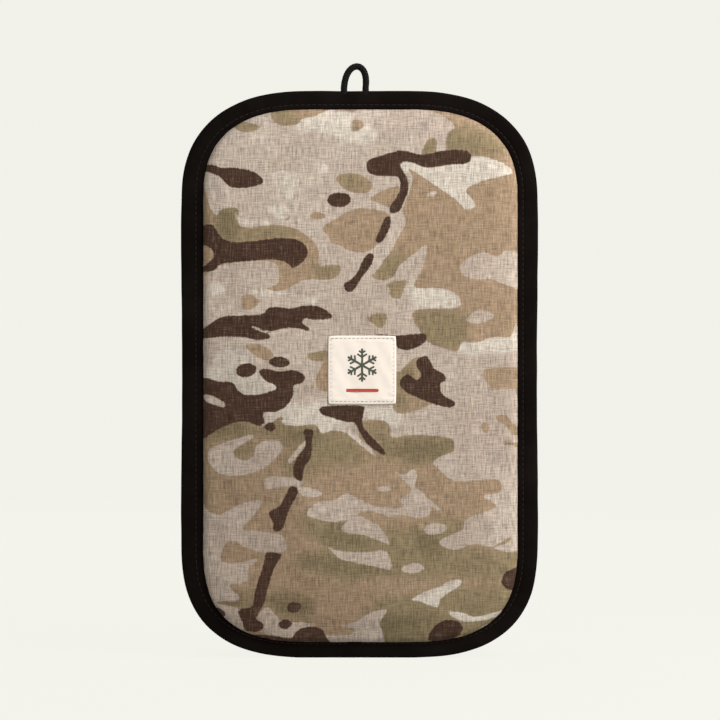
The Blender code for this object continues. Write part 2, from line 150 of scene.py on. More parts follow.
def zip_path(x_end):
    """Up round the bag from the bottom right to the bottom left, between the half widths x_end."""
    end = bottom_angle(x_end)
    return join(
        corner(1, -1, end, 0, CORNER_STEPS),
        corner(1, 1, 0, QUARTER, CORNER_STEPS),
        corner(-1, 1, QUARTER, 0, CORNER_STEPS),
        corner(-1, -1, 0, end, CORNER_STEPS),
    )


def bottom_path(x_end):
    """The middle of the bottom, from left to right."""
    end = bottom_angle(x_end)
    return join(corner(-1, -1, end, QUARTER, BOTTOM_STEPS), corner(1, -1, QUARTER, end, BOTTOM_STEPS))


def spread(normals):
    """How much further in than usual the binding's free edge lies: most on the left, least under the bag. The
    extra on the left is partly painted shade: dark tape over where the panel's side wall lies in shadow.
    """
    left, under = np.clip(normals.T, 0, 1) ** 2
    right, over = np.clip(-normals.T, 0, 1) ** 2
    return (2.2 * left + 0.9 * right + 0.3 * over - 1.7 * under) * MM


def distances(line):
    """How far along a line of flat points each of them lies."""
    return np.concatenate([[0], np.cumsum(np.hypot(*np.diff(line, axis=0).T))])


def even(path, spacing, inset=0.0):
    """Evenly spaced stations along a path moved in by inset: points, normals and distance along."""
    points, normals = path
    run = distances(points + normals * inset)
    keep = np.concatenate([[True], np.diff(run) > TINY])
    run, points, normals = run[keep], points[keep], normals[keep]
    count = max(2, int(round(run[-1] / spacing)) + 1)
    at = np.linspace(0, run[-1], count)
    p = np.stack([np.interp(at, run, points[:, i]) for i in (0, 1)], 1)
    n = np.stack([np.interp(at, run, normals[:, i]) for i in (0, 1)], 1)
    return p, n / np.hypot(n[:, 0], n[:, 1])[:, None], at


def wobble(s, size, seed, waves=5):
    """A smooth irregular line between about -1 and 1: a few sines of unlike lengths about the given size."""
    rng = np.random.default_rng(seed)
    total = np.zeros_like(s)
    for _ in range(waves):
        total += np.sin(s * 2 * math.pi / (size * rng.uniform(0.6, 1.9)) + rng.uniform(0, 6.3))
    return total / waves ** 0.5 / 1.6


# ---- meshes ----------------------------------------------------------------------------


def turn_outward(mesh):
    """Turns the faces of a closed mesh outwards."""
    bm = bmesh.new()
    bm.from_mesh(mesh)
    bmesh.ops.recalc_face_normals(bm, faces=bm.faces)
    bm.to_mesh(mesh)
    bm.free()


def make(name, verts, faces, mat, body=None, slot=None, replaces=(), weave=None, smooth=True, solid=False):
    """One visible piece from vertex and face lists, riding on a body and standing for CAD nodes."""
    mesh = bpy.data.meshes.new(name)
    mesh.from_pydata(np.asarray(verts, float).tolist(), [], [list(f) for f in faces])
    mesh.validate()
    if solid:
        turn_outward(mesh)
    mesh.materials.append(mat)
    if smooth:
        mesh.shade_smooth()
    if weave is not None:
        layer = mesh.attributes.new("weave", "FLOAT_VECTOR", "POINT")
        layer.data.foreach_set("vector", np.asarray(weave, np.float32).ravel())
    obj = bpy.data.objects.new(name, mesh)
    bpy.context.scene.collection.objects.link(obj)
    if body:
        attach(obj, body)
    if replaces:
        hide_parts(*replaces)
    return obj


def grid_faces(rows, cols, wrap_rows=False, wrap_cols=True):
    """Quads over a rows x cols grid of vertices; a section's points are the columns."""
    faces = []
    for r in range(rows if wrap_rows else rows - 1):
        near, far = r * cols, (r + 1) % rows * cols
        for c in range(cols if wrap_cols else cols - 1):
            after = (c + 1) % cols
            faces.append((near + c, near + after, far + after, far + c))
    return faces


def tube_faces(rows, cols):
    """Quads along a row of closed rings, and a face over each end."""
    last = (rows - 1) * cols
    return grid_faces(rows, cols) + [tuple(range(cols))[::-1], tuple(range(last, last + cols))]


def sweep(name, path, section, mat, spacing=2.5 * MM, closed=False, shape=None, **facts):
    """Carries a section of (inset, y) points along the outline; shape(s, insets, ys) may bend it."""
    points, normals, s = even(path, spacing)
    if closed:
        points, normals, s = points[:-1], normals[:-1], s[:-1]
    section = np.array(section, float)
    rows, cols = len(s), len(section)
    insets = np.repeat(section[None, :, 0], rows, 0)
    ys = np.repeat(section[None, :, 1], rows, 0)
    if shape:
        insets, ys = shape(s[:, None], insets, ys)
    x = points[:, 0:1] + normals[:, 0:1] * insets
    z = points[:, 1:2] + normals[:, 1:2] * insets
    verts = np.stack([x, ys, z], 2).reshape(-1, 3)
    along, across = np.broadcast_arrays(s[:, None], distances(section)[None])
    weave = np.stack([along, across, np.zeros((rows, cols))], 2).reshape(-1, 3)
    faces = grid_faces(rows, cols, wrap_rows=True) if closed else tube_faces(rows, cols)
    return make(name, verts, faces, mat, weave=weave, solid=True, **facts)


def flat_weave(x, z):
    """The weave attribute of a piece that lies flat across Y."""
    return np.stack([x, z, np.zeros_like(x)], 1)


def strip_section(inset, thickness, y_low, y_high, steps=9):
    """A flat strip's section with its long faces divided, so that it can bend."""
    ys = np.linspace(y_low, y_high, steps)
    outer = [(inset, y) for y in ys]
    inner = [(inset + thickness, y) for y in ys[::-1]]
    return outer + inner


def thicken(obj, thickness, offset=-1.0):
    """Gives a sheet its thickness, behind its face or, with offset 1, in front of it."""
    solidify = obj.modifiers.new("Thickness", "SOLIDIFY")
    solidify.thickness = thickness
    solidify.offset = offset


def scatter(name, template, faces, places, mat, **facts):
    """Copies a template in (along, across, up) to many frames (position, along, across, up) as one mesh."""
    template = np.asarray(template, float)
    verts, all_faces = [], []
    for i, (at, along, across, up) in enumerate(places):
        basis = np.stack([along, across, up])
        verts.append(template @ basis + at)
        all_faces += [tuple(v + i * len(template) for v in f) for f in faces]
    return make(name, np.concatenate(verts), all_faces, mat, solid=True, **facts)


def capsule(length, radius, arch):
    """A thread-like template along its first axis, with pinched ends that dip by arch."""
    sides = 6
    half = [(0.15, 1.0, 0.0), (0.38, 0.85, -0.35), (0.5, 0.25, -1.0)]  # (along, radius, dip) as shares
    rings = [(-along, scale, dip) for along, scale, dip in half[::-1]] + half
    verts = []
    for along, scale, dip in rings:
        r = radius * scale
        for k in range(sides):
            a = 2 * math.pi * k / sides
            verts.append((along * length, r * math.cos(a), r * math.sin(a) + dip * arch))
    return verts, tube_faces(len(rings), sides)


def edge_frames(path, inset, y, pitch, up_side=0, lift=0.0):
    """Frames every pitch along an edge: up_side FRONT or BACK faces along Y, 0 faces out of the outline."""
    points, normals, _ = even(path, pitch, inset)
    frames = []
    for p, n in zip((points[:-1] + points[1:]) / 2, (normals[:-1] + normals[1:]) / 2):
        n = n / np.hypot(*n)
        along = np.array([n[1], 0.0, -n[0]])
        inward = np.array([n[0], 0.0, n[1]])
        up = np.array([0.0, up_side, 0.0]) if up_side else -inward
        at = np.array([p[0], y, p[1]]) + inward * inset + up * lift
        frames.append((at, along, np.cross(up, along), up))
    return frames


# ---- materials -------------------------------------------------------------------------


class Look:
    """A material under construction, with short names for the nodes that the cloths share."""

    def __init__(self, name):
        self.mat = bpy.data.materials.new(name)
        self.mat.use_nodes = True
        self.tree = self.mat.node_tree
        self.shader = self.tree.nodes["Principled BSDF"]

    def node(self, kind, inputs=None, **settings):
        node = self.tree.nodes.new(kind)
        for key, value in settings.items():
            setattr(node, key, value)
        for key, value in (inputs or {}).items():
            self.set(node.inputs[key], value)
        return node

    def set(self, socket, value):
        if isinstance(value, bpy.types.NodeSocket):
            self.tree.links.new(value, socket)
        elif isinstance(value, (tuple, list)) and len(value) == 3 and socket.type == "RGBA":
            socket.default_value = (*value, 1.0)
        else:
            socket.default_value = value

    def attribute(self, name, output="Fac"):
        return self.node("ShaderNodeAttribute", attribute_name=name).outputs[output]

    def place(self):
        return self.node("ShaderNodeTexCoord").outputs["Object"]

    def parts(self, vector):
        return self.node("ShaderNodeSeparateXYZ", {0: vector}).outputs

    def math(self, operation, a, b=0.0):
        return self.node("ShaderNodeMath", {0: a, 1: b}, operation=operation).outputs[0]

    def add(self, a, b):
        return self.math("ADD", a, b)

    def times(self, a, b):
        return self.math("MULTIPLY", a, b)

    def wave(self, value, length):
        return self.math("SINE", self.times(value, 2 * math.pi / length))

    def stretch(self, vector, scale):
        return self.node("ShaderNodeVectorMath", {0: vector, 1: scale}, operation="MULTIPLY").outputs[0]

    def noise(self, vector, scale, detail=3.0, rough=0.55, distortion=0.0):
        inputs = {"Vector": vector, "Scale": scale, "Detail": detail, "Roughness": rough}
        inputs["Distortion"] = distortion
        return self.node("ShaderNodeTexNoise", inputs).outputs["Fac"]

    def span(self, value, low, high, to_low=0.0, to_high=1.0, smooth=True):
        inputs = {"Value": value, "From Min": low, "From Max": high, "To Min": to_low, "To Max": to_high}
        kind = "SMOOTHSTEP" if smooth else "LINEAR"
        return self.node("ShaderNodeMapRange", inputs, interpolation_type=kind).outputs["Result"]

    def mix(self, factor, a, b, blend="MIX"):
        node = self.node("ShaderNodeMix", data_type="RGBA", blend_type=blend)
        self.set(node.inputs[0], factor)
        self.set(node.inputs[6], a)
        self.set(node.inputs[7], b)
        return node.outputs[2]

    def bump(self, height, distance, strength=1.0, normal=None):
        inputs = {"Height": height, "Distance": distance, "Strength": strength}
        if normal is not None:
            inputs["Normal"] = normal
        return self.node("ShaderNodeBump", inputs).outputs["Normal"]

    def done(self, color, roughness, normal=None, metallic=0.0, sheen=0.0, tint=(1, 1, 1), specular=0.5):
        """Feeds the shader; sheen is its weight and tint is the sheen's colour. Returns the material."""
        inputs = {"Base Color": color, "Roughness": roughness, "Metallic": metallic}
        inputs |= {"Specular IOR Level": specular, "Sheen Weight": sheen, "Sheen Tint": tint}
        if normal is not None:
            inputs["Normal"] = normal
        for key, value in inputs.items():
            self.set(self.shader.inputs[key], value)
        return self.mat


# Linear colours of the print
SAND = (0.304, 0.244, 0.204)
SAND_LIGHT = (0.348, 0.288, 0.245)
CREAM = (0.406, 0.357, 0.310)
TAN = (0.234, 0.164, 0.108)
OLIVE = (0.172, 0.131, 0.077)
MOSS = (0.131, 0.101, 0.058)
BROWN = (0.040, 0.0195, 0.0120)


def plain_weave(look, thread):
    """The cloth's own coordinates, and the height of threads that cross both ways at this spacing."""
    weave = look.attribute("weave", "Vector")
    parts = look.parts(weave)
    return weave, look.times(look.wave(parts[0], thread), look.wave(parts[1], thread))


def woven(look):
    """Weave of the printed cloth with its uneven threads, as (colour variation, height)."""
    weave, crossing = plain_weave(look, 0.42 * MM)
    slub, long = 1150, 0.09  # scale of the thick and thin stretches, and how far they are drawn out
    across = look.noise(look.stretch(weave, (1.0, long, 1.0)), slub, 2.0, 0.6)
    along = look.noise(look.stretch(weave, (long, 1.0, 1.0)), slub, 2.0, 0.6)
    grain = look.noise(weave, 1500, 2.0, 0.6)
    blend = look.add(look.add(across, look.times(along, 0.75)), look.times(grain, 0.55))
    tone = look.span(blend, 0.85, 1.45, 0.50, 1.50, smooth=False)
    height = look.add(look.times(crossing, 0.5), look.add(across, along))
    return tone, height


def wandering(look, place, scale, amount, shift):
    """A noise about zero that moves the edges of the print by up to half the amount."""
    move = {0: place, 1: (shift, shift, shift)}
    moved = look.node("ShaderNodeVectorMath", move, operation="ADD").outputs[0]
    return look.times(look.math("SUBTRACT", look.noise(moved, scale, 3.0, 0.6), 0.5), amount)


def printed_area(look, name, edge, drift):
    """1 inside one colour of the print and 0 outside it, over an edge that drifts by a noise."""
    return look.span(look.add(look.attribute(name), drift), -edge, edge)


def camouflage(name):
    """Printed cloth: pale sand field, tan and olive patches, light gaps, brown bars and painted shade over
    the lower left.
    """
    look = Look(name)
    place = look.place()
    tone, height = woven(look)
    fine = wandering(look, place, 500, 2.0, 0.0)
    broad = wandering(look, place, 60, 12.0, 0.7)
    cloud = look.noise(place, 17, 3.0, 0.5)
    field = look.mix(look.span(cloud, 0.36, 0.64), SAND, SAND_LIGHT)
    field = look.mix(printed_area(look, "pale", 3.0, broad), field, CREAM)
    patch = look.mix(printed_area(look, "olive", 7.0, broad), TAN, OLIVE)
    patch = look.mix(printed_area(look, "moss", 7.0, broad), patch, MOSS)
    color = look.mix(printed_area(look, "patch", 0.5, fine), field, patch)
    color = look.mix(printed_area(look, "light", 0.5, fine), color, field)
    faint = look.times(printed_area(look, "cream", 0.7, fine), 0.62)
    color = look.mix(faint, color, CREAM)
    worn = look.mix(look.span(tone, 1.0, 1.5, 0.0, 0.10), BROWN, SAND)
    color = look.mix(printed_area(look, "brown", 0.45, fine), color, worn)
    # Painted shade: a broad ring over the lower left darkens the print towards brown, standing in for the
    # light falling off there.
    wear_and_painted_shade = look.times(printed_area(look, "painted_shade", 12.0, broad), 0.20)
    color = look.mix(wear_and_painted_shade, color, BROWN)
    shade = look.node("ShaderNodeCombineColor", {0: tone, 1: tone, 2: tone}).outputs[0]
    color = look.mix(1.0, color, shade, "MULTIPLY")
    fuzz = look.noise(place, 60, 3.0)
    soft = look.bump(fuzz, 0.5 * MM, 0.25)
    normal = look.bump(height, 0.10 * MM, 0.55, soft)
    rough = look.span(fuzz, 0.3, 0.7, 0.78, 0.92)
    return look.done(color, rough, normal, sheen=0.02, tint=(0.9, 0.85, 0.8), specular=0.12)


def ribbed_tape(name, color, rib, rough, sheen, specular):
    """Black woven tape: fine ribs across its length, a little lint and a soft shine."""
    look = Look(name)
    weave = look.attribute("weave", "Vector")
    ribs = look.wave(look.parts(weave)[0], rib)
    threads = look.noise(look.stretch(weave, (0.1, 1.0, 1.0)), 1500, 2.0)
    lint = look.noise(look.place(), 420, 4.0, 0.7)
    wear = look.noise(look.place(), 26, 3.0, 0.6)
    pale = tuple(min(1.0, c * 2.4 + 0.002) for c in color)
    tint = look.mix(look.span(wear, 0.35, 0.75), color, tuple(c * 1.5 + 0.001 for c in color))
    tint = look.mix(look.span(lint, 0.62, 0.80, 0.0, 0.6), tint, pale)
    normal = look.bump(look.add(look.times(ribs, 0.6), threads), 0.09 * MM, 0.6)
    rough = look.span(threads, 0.3, 0.7, rough - 0.07, rough + 0.12)
    return look.done(tint, rough, normal, sheen=sheen, tint=(0.55, 0.5, 0.48), specular=specular)


def foil_lining(name):
    """Silver-grey food-safe film over foam: crinkled, half metallic, dulled where it has been handled."""
    look = Look(name)
    place = look.place()
    crease = look.noise(place, 55, 5.0, 0.62, 1.4)
    ridge = look.math("ABSOLUTE", look.math("SUBTRACT", crease, 0.5))
    fine = look.noise(place, 240, 4.0, 0.6)
    normal = look.bump(look.add(look.times(ridge, -2.0), look.times(fine, 0.25)), 1.2 * MM, 0.55)
    wear_and_painted_shade = look.noise(place, 11, 3.0)
    color = look.mix(look.span(wear_and_painted_shade, 0.35, 0.7), (0.60, 0.61, 0.63), (0.46, 0.47, 0.49))
    rough = look.span(wear_and_painted_shade, 0.3, 0.7, 0.27, 0.46)
    return look.done(color, rough, normal, metallic=0.72, specular=0.5)


def thread(name, color):
    """Sewing thread, shaded by its twist."""
    look = Look(name)
    twist = look.noise(look.place(), 1400, 2.0, 0.6)
    tint = look.mix(look.span(twist, 0.3, 0.7), tuple(c * 0.65 for c in color), color)
    return look.done(tint, 0.6, look.bump(twist, 0.08 * MM, 0.5), sheen=0.02, specular=0.12)


def label_cloth(name):
    """Off-white woven label, a little soiled."""
    look = Look(name)
    weave, crossing = plain_weave(look, 0.36 * MM)
    slub = look.noise(look.stretch(weave, (0.2, 1.0, 1.0)), 1300, 2.0)
    soil = look.noise(look.place(), 70, 4.0, 0.6)
    color = look.mix(look.span(soil, 0.40, 0.80), (0.660, 0.590, 0.540), (0.630, 0.555, 0.500))
    color = look.mix(look.span(slub, 0.55, 0.75, 0.0, 0.35), color, (0.500, 0.440, 0.385))
    normal = look.bump(look.add(crossing, slub), 0.07 * MM, 0.5)
    return look.done(color, 0.72, normal, sheen=0.1, specular=0.3)


def coil_plastic(name):
    """Black nylon of the zip's coils."""
    look = Look(name)
    grain = look.noise(look.place(), 900, 3.0)
    tint = look.mix(look.span(grain, 0.35, 0.7), (0.010, 0.010, 0.011), (0.024, 0.023, 0.023))
    rough = look.span(grain, 0.3, 0.7, 0.28, 0.42)
    return look.done(tint, rough, look.bump(grain, 0.04 * MM, 0.4), specular=0.5)


def painted_metal(name):
    """Black electro-coated zinc with pale rubbed spots and faint pitting."""
    look = Look(name)
    place = look.place()
    rub = look.noise(place, 160, 5.0, 0.7)
    pits = look.noise(place, 900, 2.0)
    tint = look.mix(look.span(rub, 0.62, 0.74, 0.0, 0.7), (0.022, 0.022, 0.024), (0.20, 0.19, 0.18))
    rough = look.span(rub, 0.3, 0.7, 0.26, 0.44)
    return look.done(tint, rough, look.bump(pits, 0.05 * MM, 0.4), metallic=0.85)


def steel(name):
    """Bright steel, brushed along X."""
    look = Look(name)
    brushed = look.noise(look.stretch(look.place(), (1.0, 8.0, 8.0)), 320, 3.0)
    tint = look.mix(look.span(brushed, 0.3, 0.7), (0.24, 0.24, 0.25), (0.42, 0.42, 0.43))
    return look.done(tint, 0.34, look.bump(brushed, 0.03 * MM, 0.4), metallic=1.0)


def moulded_rubber(name):
    """Black rubber with a fine skin and a little dust."""
    look = Look(name)
    skin = look.noise(look.place(), 1300, 2.0)
    dust = look.noise(look.place(), 90, 4.0, 0.6)
    tint = look.mix(look.span(dust, 0.5, 0.75, 0.0, 0.5), (0.014, 0.014, 0.014), (0.045, 0.043, 0.041))
    return look.done(tint, look.span(dust, 0.3, 0.7, 0.5, 0.7), look.bump(skin, 0.05 * MM, 0.5), specular=0.4)


def braided_cord(name):
    """Black braid: strands crossing both ways round the cord, from its weave attribute (along, round), with
    painted shade in the grooves between strands.
    """
    look = Look(name)
    parts = look.parts(look.attribute("weave", "Vector"))
    along = look.times(parts[0], 2 * math.pi / BRAID_PITCH)
    turned = look.times(parts[1], BRAID_STRANDS)
    one = look.math("SINE", look.add(along, turned))
    two = look.math("SINE", look.math("SUBTRACT", along, turned))
    braid = look.math("MAXIMUM", one, two)
    fibre = look.noise(look.place(), 1100, 3.0)
    # Painted shade and highlight: darker in the grooves between strands, lighter on their crests, after the
    # bump's pattern.
    tint = look.mix(look.span(braid, 0.1, 1.0), (0.0016, 0.0015, 0.0016), (0.0062, 0.0058, 0.0060))
    tint = look.mix(look.span(fibre, 0.6, 0.8, 0.0, 0.5), tint, (0.014, 0.013, 0.013))
    normal = look.bump(look.add(braid, look.times(fibre, 0.4)), 0.22 * MM, 0.8)
    return look.done(tint, 0.6, normal, sheen=0.004, tint=(0.6, 0.6, 0.62), specular=0.05)


def printed_ink(name, color):
    """Ink on the label, worn through in specks."""
    look = Look(name)
    wear = look.noise(look.place(), 700, 4.0, 0.6)
    tint = look.mix(look.span(wear, 0.58, 0.80, 0.0, 0.35), color, (0.52, 0.46, 0.41))
    return look.done(tint, 0.65, look.bump(wear, 0.03 * MM, 0.4))


CAMO = camouflage("camo_cloth")
BINDING = ribbed_tape("binding_tape", (0.0031, 0.0020, 0.0017), 0.55 * MM, 0.70, 0.004, 0.02)
ZIP_TAPE = ribbed_tape("zip_tape", (0.0070, 0.0066, 0.0066), 0.80 * MM, 0.65, 0.05, 0.2)
FOIL = foil_lining("foil_lining")
BLACK_THREAD = thread("black_thread", (0.014, 0.0065, 0.0055))
GREY_THREAD = thread("grey_thread", (0.25, 0.19, 0.15))
TAN_THREAD = thread("tan_thread", (0.18, 0.135, 0.090))
LABEL = label_cloth("label_cloth")
COIL = coil_plastic("zip_coil")
METAL = painted_metal("black_metal")
STEEL = steel("zip_stop_steel")
RUBBER = moulded_rubber("grip_rubber")
CORD = braided_cord("cord_braid")
ICON_INK = printed_ink("icon_ink", (0.034, 0.042, 0.028))
STRIPE_INK = printed_ink("stripe_ink", (0.30, 0.030, 0.016))

# ---- the cloth's print -----------------------------------------------------------------
# Closed rings of (x, z), drawn in millimetres from the middle of the panel's bottom edge.
# Patches are tan, with olives and mosses in them, and lights show the field through them. Pales tint the
# field, creams are faint light spots, browns lie on top, less their slits, and painted shade darkens the
# lower left.

PATCHES = [
    [(-60, 388), (-62, 378), (-56, 372), (-44, 372), (-40, 376), (-31, 378), (-20, 384), (-22, 388)],
    [(-89, 372), (-84.5, 374.5), (-76.5, 373.5), (-69, 370.5), (-74, 367.5), (-82, 367)],
    [(-24, 388), (-20, 383.5), (-10, 381), (-3, 381.5), (0, 388)],
    [(4, 388), (8, 384.6), (15, 384.6), (19, 388)],
    [(-5.5, 374.5), (-1, 375.5), (3, 373), (1.5, 369), (-4.5, 367), (-6.5, 370.5)],
    [(-16.5, 335), (-9, 338), (1.5, 336.5), (9, 330.5), (5.5, 324.5), (-3.5, 324.5), (-11.5, 328)],
    [(-35, 308.5), (-30, 311), (-24, 309.5), (-25, 306.5), (-31.5, 306)],
    [(-26, 300), (-14, 308), (-4, 313), (8, 313), (21, 310), (20, 301), (15, 292), (10, 286), (3, 283),
     (-7, 284), (-14, 288), (-20, 290), (-22, 295)],
    [(7.5, 320.5), (15, 325.5), (27.5, 329), (26, 320.5), (21, 314.5), (16.5, 316), (11.5, 318)],
    [(50, 384), (59, 378), (67, 370), (62, 367), (60, 358), (61, 348), (46, 344), (34, 342), (37, 335),
     (34, 323), (30, 313), (32, 304), (26, 292), (21, 282), (14, 276), (8, 268), (12, 264), (20, 264),
     (25, 268), (28, 274), (38, 282), (47, 288), (44, 272), (38, 259), (56, 258), (66, 255), (71, 248),
     (66, 244), (50, 244), (38, 242), (38, 235), (41, 230), (47, 221), (59, 216), (68, 214), (72, 221),
     (81, 220), (93, 224), (105, 224), (109, 233), (116, 235), (116, 316), (116, 367), (88, 388)],
    [(18.5, 261), (32.5, 263.5), (30.5, 257), (28.5, 251), (22.5, 251.5), (21, 257.5)],
    [(5.5, 236.5), (10.5, 240), (18.5, 240.5), (18.5, 235), (15, 230), (10, 233)],
    [(-114, 320), (-107, 318), (-100, 309), (-96, 313), (-86, 314), (-84, 310), (-84, 302), (-76, 300),
     (-66, 302), (-58, 302), (-46, 300), (-36, 294), (-29, 286), (-28, 274), (-24, 274), (-14, 274),
     (-14, 268), (-22, 264), (-38, 264), (-48, 259), (-56, 256), (-66, 258), (-57, 261), (-56, 270),
     (-60, 276), (-76, 277), (-97, 274), (-114, 268)],
    [(-82, 252.5), (-76.5, 253.5), (-69.5, 249), (-74, 244), (-81, 243.5)],
    [(-79, 218), (-74, 219.5), (-65, 217), (-60, 212), (-63, 207.5), (-70, 209.5), (-76.5, 214)],
    [(-36.5, 211), (-31, 213.5), (-20.5, 214), (-20.5, 207.5), (-32.5, 207.5)],
    [(-114, 334), (-109, 330), (-106, 320), (-103.5, 309), (-114, 309)],
    [(43.5, 351), (45.5, 358), (49.5, 362.5), (54, 361), (53.5, 355), (52.5, 350)],
    [(-53, 311), (-49.5, 311), (-48, 308), (-50.5, 305), (-53, 307.5)],
    [(24, 173), (37, 172), (47, 176), (56, 182), (54, 198), (42, 210), (34, 206), (28, 200), (24, 198)],
    [(86, 198), (90, 202), (115, 202), (115, 188), (103, 188), (94, 188), (89, 192)],
    [(85, 163.5), (88, 164.5), (90.5, 161), (88, 157), (85, 159.5)],
    [(94.5, 168.5), (101.5, 169.5), (107, 164), (115, 157), (106.5, 156), (102.5, 162), (96.5, 165.5)],
    [(100, 149.5), (105, 150.5), (115, 149.5), (115, 144.5), (106.5, 145.5)],
    [(-30, 196), (-24, 208), (-20, 208), (-20, 187.5), (-29, 188)],
    [(-114, 154), (-98, 161), (-85, 165), (-76, 165), (-68, 162), (-62, 164), (-56, 168), (-53, 168),
     (-54, 164), (-44, 162), (-31, 163), (-26, 157), (-16, 160), (-7, 158), (-1, 152), (-1, 159), (-4, 164),
     (3, 166), (16, 166), (21, 162), (23, 154), (37, 156), (62, 154), (66, 148), (64, 143), (52, 138),
     (53, 134), (62, 130), (66, 124), (96, 125), (98, 115), (88, 114), (96, 106), (96, 99), (86, 98),
     (74, 97), (72, 90), (57, 83), (58, 78), (68, 76), (80, 80), (92, 78), (116, 82), (116, 4), (-114, 4)],
]
LIGHTS = [
    [(28, 344), (34, 346), (47, 342), (62, 344), (78, 350), (93, 348), (105, 342), (106, 338), (94, 335),
     (81, 331), (74, 326), (80, 318), (80, 314), (74, 313), (69, 318), (64, 322), (52, 330), (42, 337),
     (33, 342)],
    [(70, 272), (74, 278), (86, 283), (96, 280), (102, 284), (116, 280), (116, 258), (103, 260), (93, 264),
     (83, 264), (74, 266)],
    [(74.5, 235.5), (79.5, 241.5), (88, 242.5), (94, 239), (89.5, 235.5), (81, 233.5)],
    [(46, 322), (50.5, 325.5), (54, 326), (53.5, 323.5), (49, 322)],
    [(8, 266), (16, 276), (25, 292), (32, 304), (21, 312), (18, 311), (28, 304), (25, 296), (16, 282),
     (7, 268)],
    [(-106, 140), (-104, 146), (-92, 151), (-76, 156), (-74, 154), (-84, 148), (-88, 144), (-86, 140),
     (-80, 138), (-74, 141), (-72, 148), (-65, 152), (-55, 151), (-54, 146), (-60, 138), (-68, 132),
     (-82, 128), (-96, 128), (-103, 134)],
    [(-112, 106), (-107, 104), (-98, 100), (-84, 107), (-68, 110), (-75, 98), (-81, 90), (-62, 88),
     (-53, 85), (-51, 76), (-58, 74), (-68, 74), (-80, 78), (-88, 82), (-94, 79), (-96, 68), (-82, 67),
     (-70, 70), (-78, 62), (-78, 54), (-91, 51), (-83, 42), (-94, 40), (-112, 45)],
    [(-66, 124), (-62, 127), (-48, 126), (-40, 124), (-42, 120), (-56, 120), (-64, 118)],
    [(-43, 119), (-36, 119), (-25.5, 115.5), (-31, 112.5), (-39.5, 113.5)],
    [(12.5, 118), (16.5, 120), (22, 119), (21, 117), (15, 116.5)],
    [(-37, 101), (-29, 109), (-18, 110), (-9, 115), (2, 110), (12, 106), (27, 105), (31, 106), (28, 111),
     (36, 116), (33, 122), (24, 131), (31, 128), (38, 132), (40, 126), (38, 120), (44, 116), (48, 108),
     (49, 101), (42, 98), (30, 100), (20, 99), (8, 103), (-2, 101), (3, 98), (14, 92), (21, 80), (14, 82),
     (3, 86), (-10, 88), (-12, 92), (-7, 97), (-16, 95), (-29, 97)],
    [(45, 91), (50.5, 94), (59, 93.5), (60.5, 89.5), (54, 86.5), (47, 87)],
    [(-22, 78), (-14, 75), (3, 74), (18, 75), (22, 67), (21, 62), (12, 64), (-4, 67), (-14, 70)],
    [(29, 62.5), (34.5, 66), (42, 66), (45, 62.5), (38.5, 59.5), (32, 60)],
    [(36, 41), (46, 47), (56, 50), (62, 54), (70, 55), (70, 51), (62, 46), (56, 41), (55, 36), (49, 37),
     (42, 40)],
    [(62, 33), (71, 32), (81, 29), (98, 33), (102, 32), (94, 28), (81, 26), (72, 26), (65, 29)],
    [(82.5, 18.5), (88, 23), (95.5, 23), (89.5, 17)],
    [(-24, 16), (-10, 16), (-2, 20), (-14, 23), (-4, 25), (8, 32), (19, 34), (14, 25), (16, 18), (14, 6),
     (-24, 6)],
    [(-72, 27), (-65, 36), (-60, 32), (-53, 26), (-38, 25), (-32, 23), (-42, 20), (-48, 14), (-58, 13),
     (-65, 16), (-68, 22)],
    [(-114, 45), (-98, 38), (-84, 35), (-82, 28), (-81, 20), (-88, 16), (-114, 22)],
    [(-24, 166), (-14, 164), (-8, 161), (-2.5, 155.5), (4, 150), (8, 146.5), (11.5, 141), (9.5, 141.8),
     (3, 147), (-4, 153), (-11, 158), (-22, 160)],
    [(-49.5, 138.5), (-47.5, 136.5), (-37.5, 149), (-38.5, 151.5)],
    [(46.5, 112.5), (51, 109), (56.5, 104.5), (55, 102.8), (49.5, 106.5), (46, 109.5)],
    [(53, 138), (71, 144), (116, 144), (116, 80), (93, 77), (106, 84), (75, 96), (96, 106), (86, 113),
     (98, 116), (96, 125), (66, 124)],
]
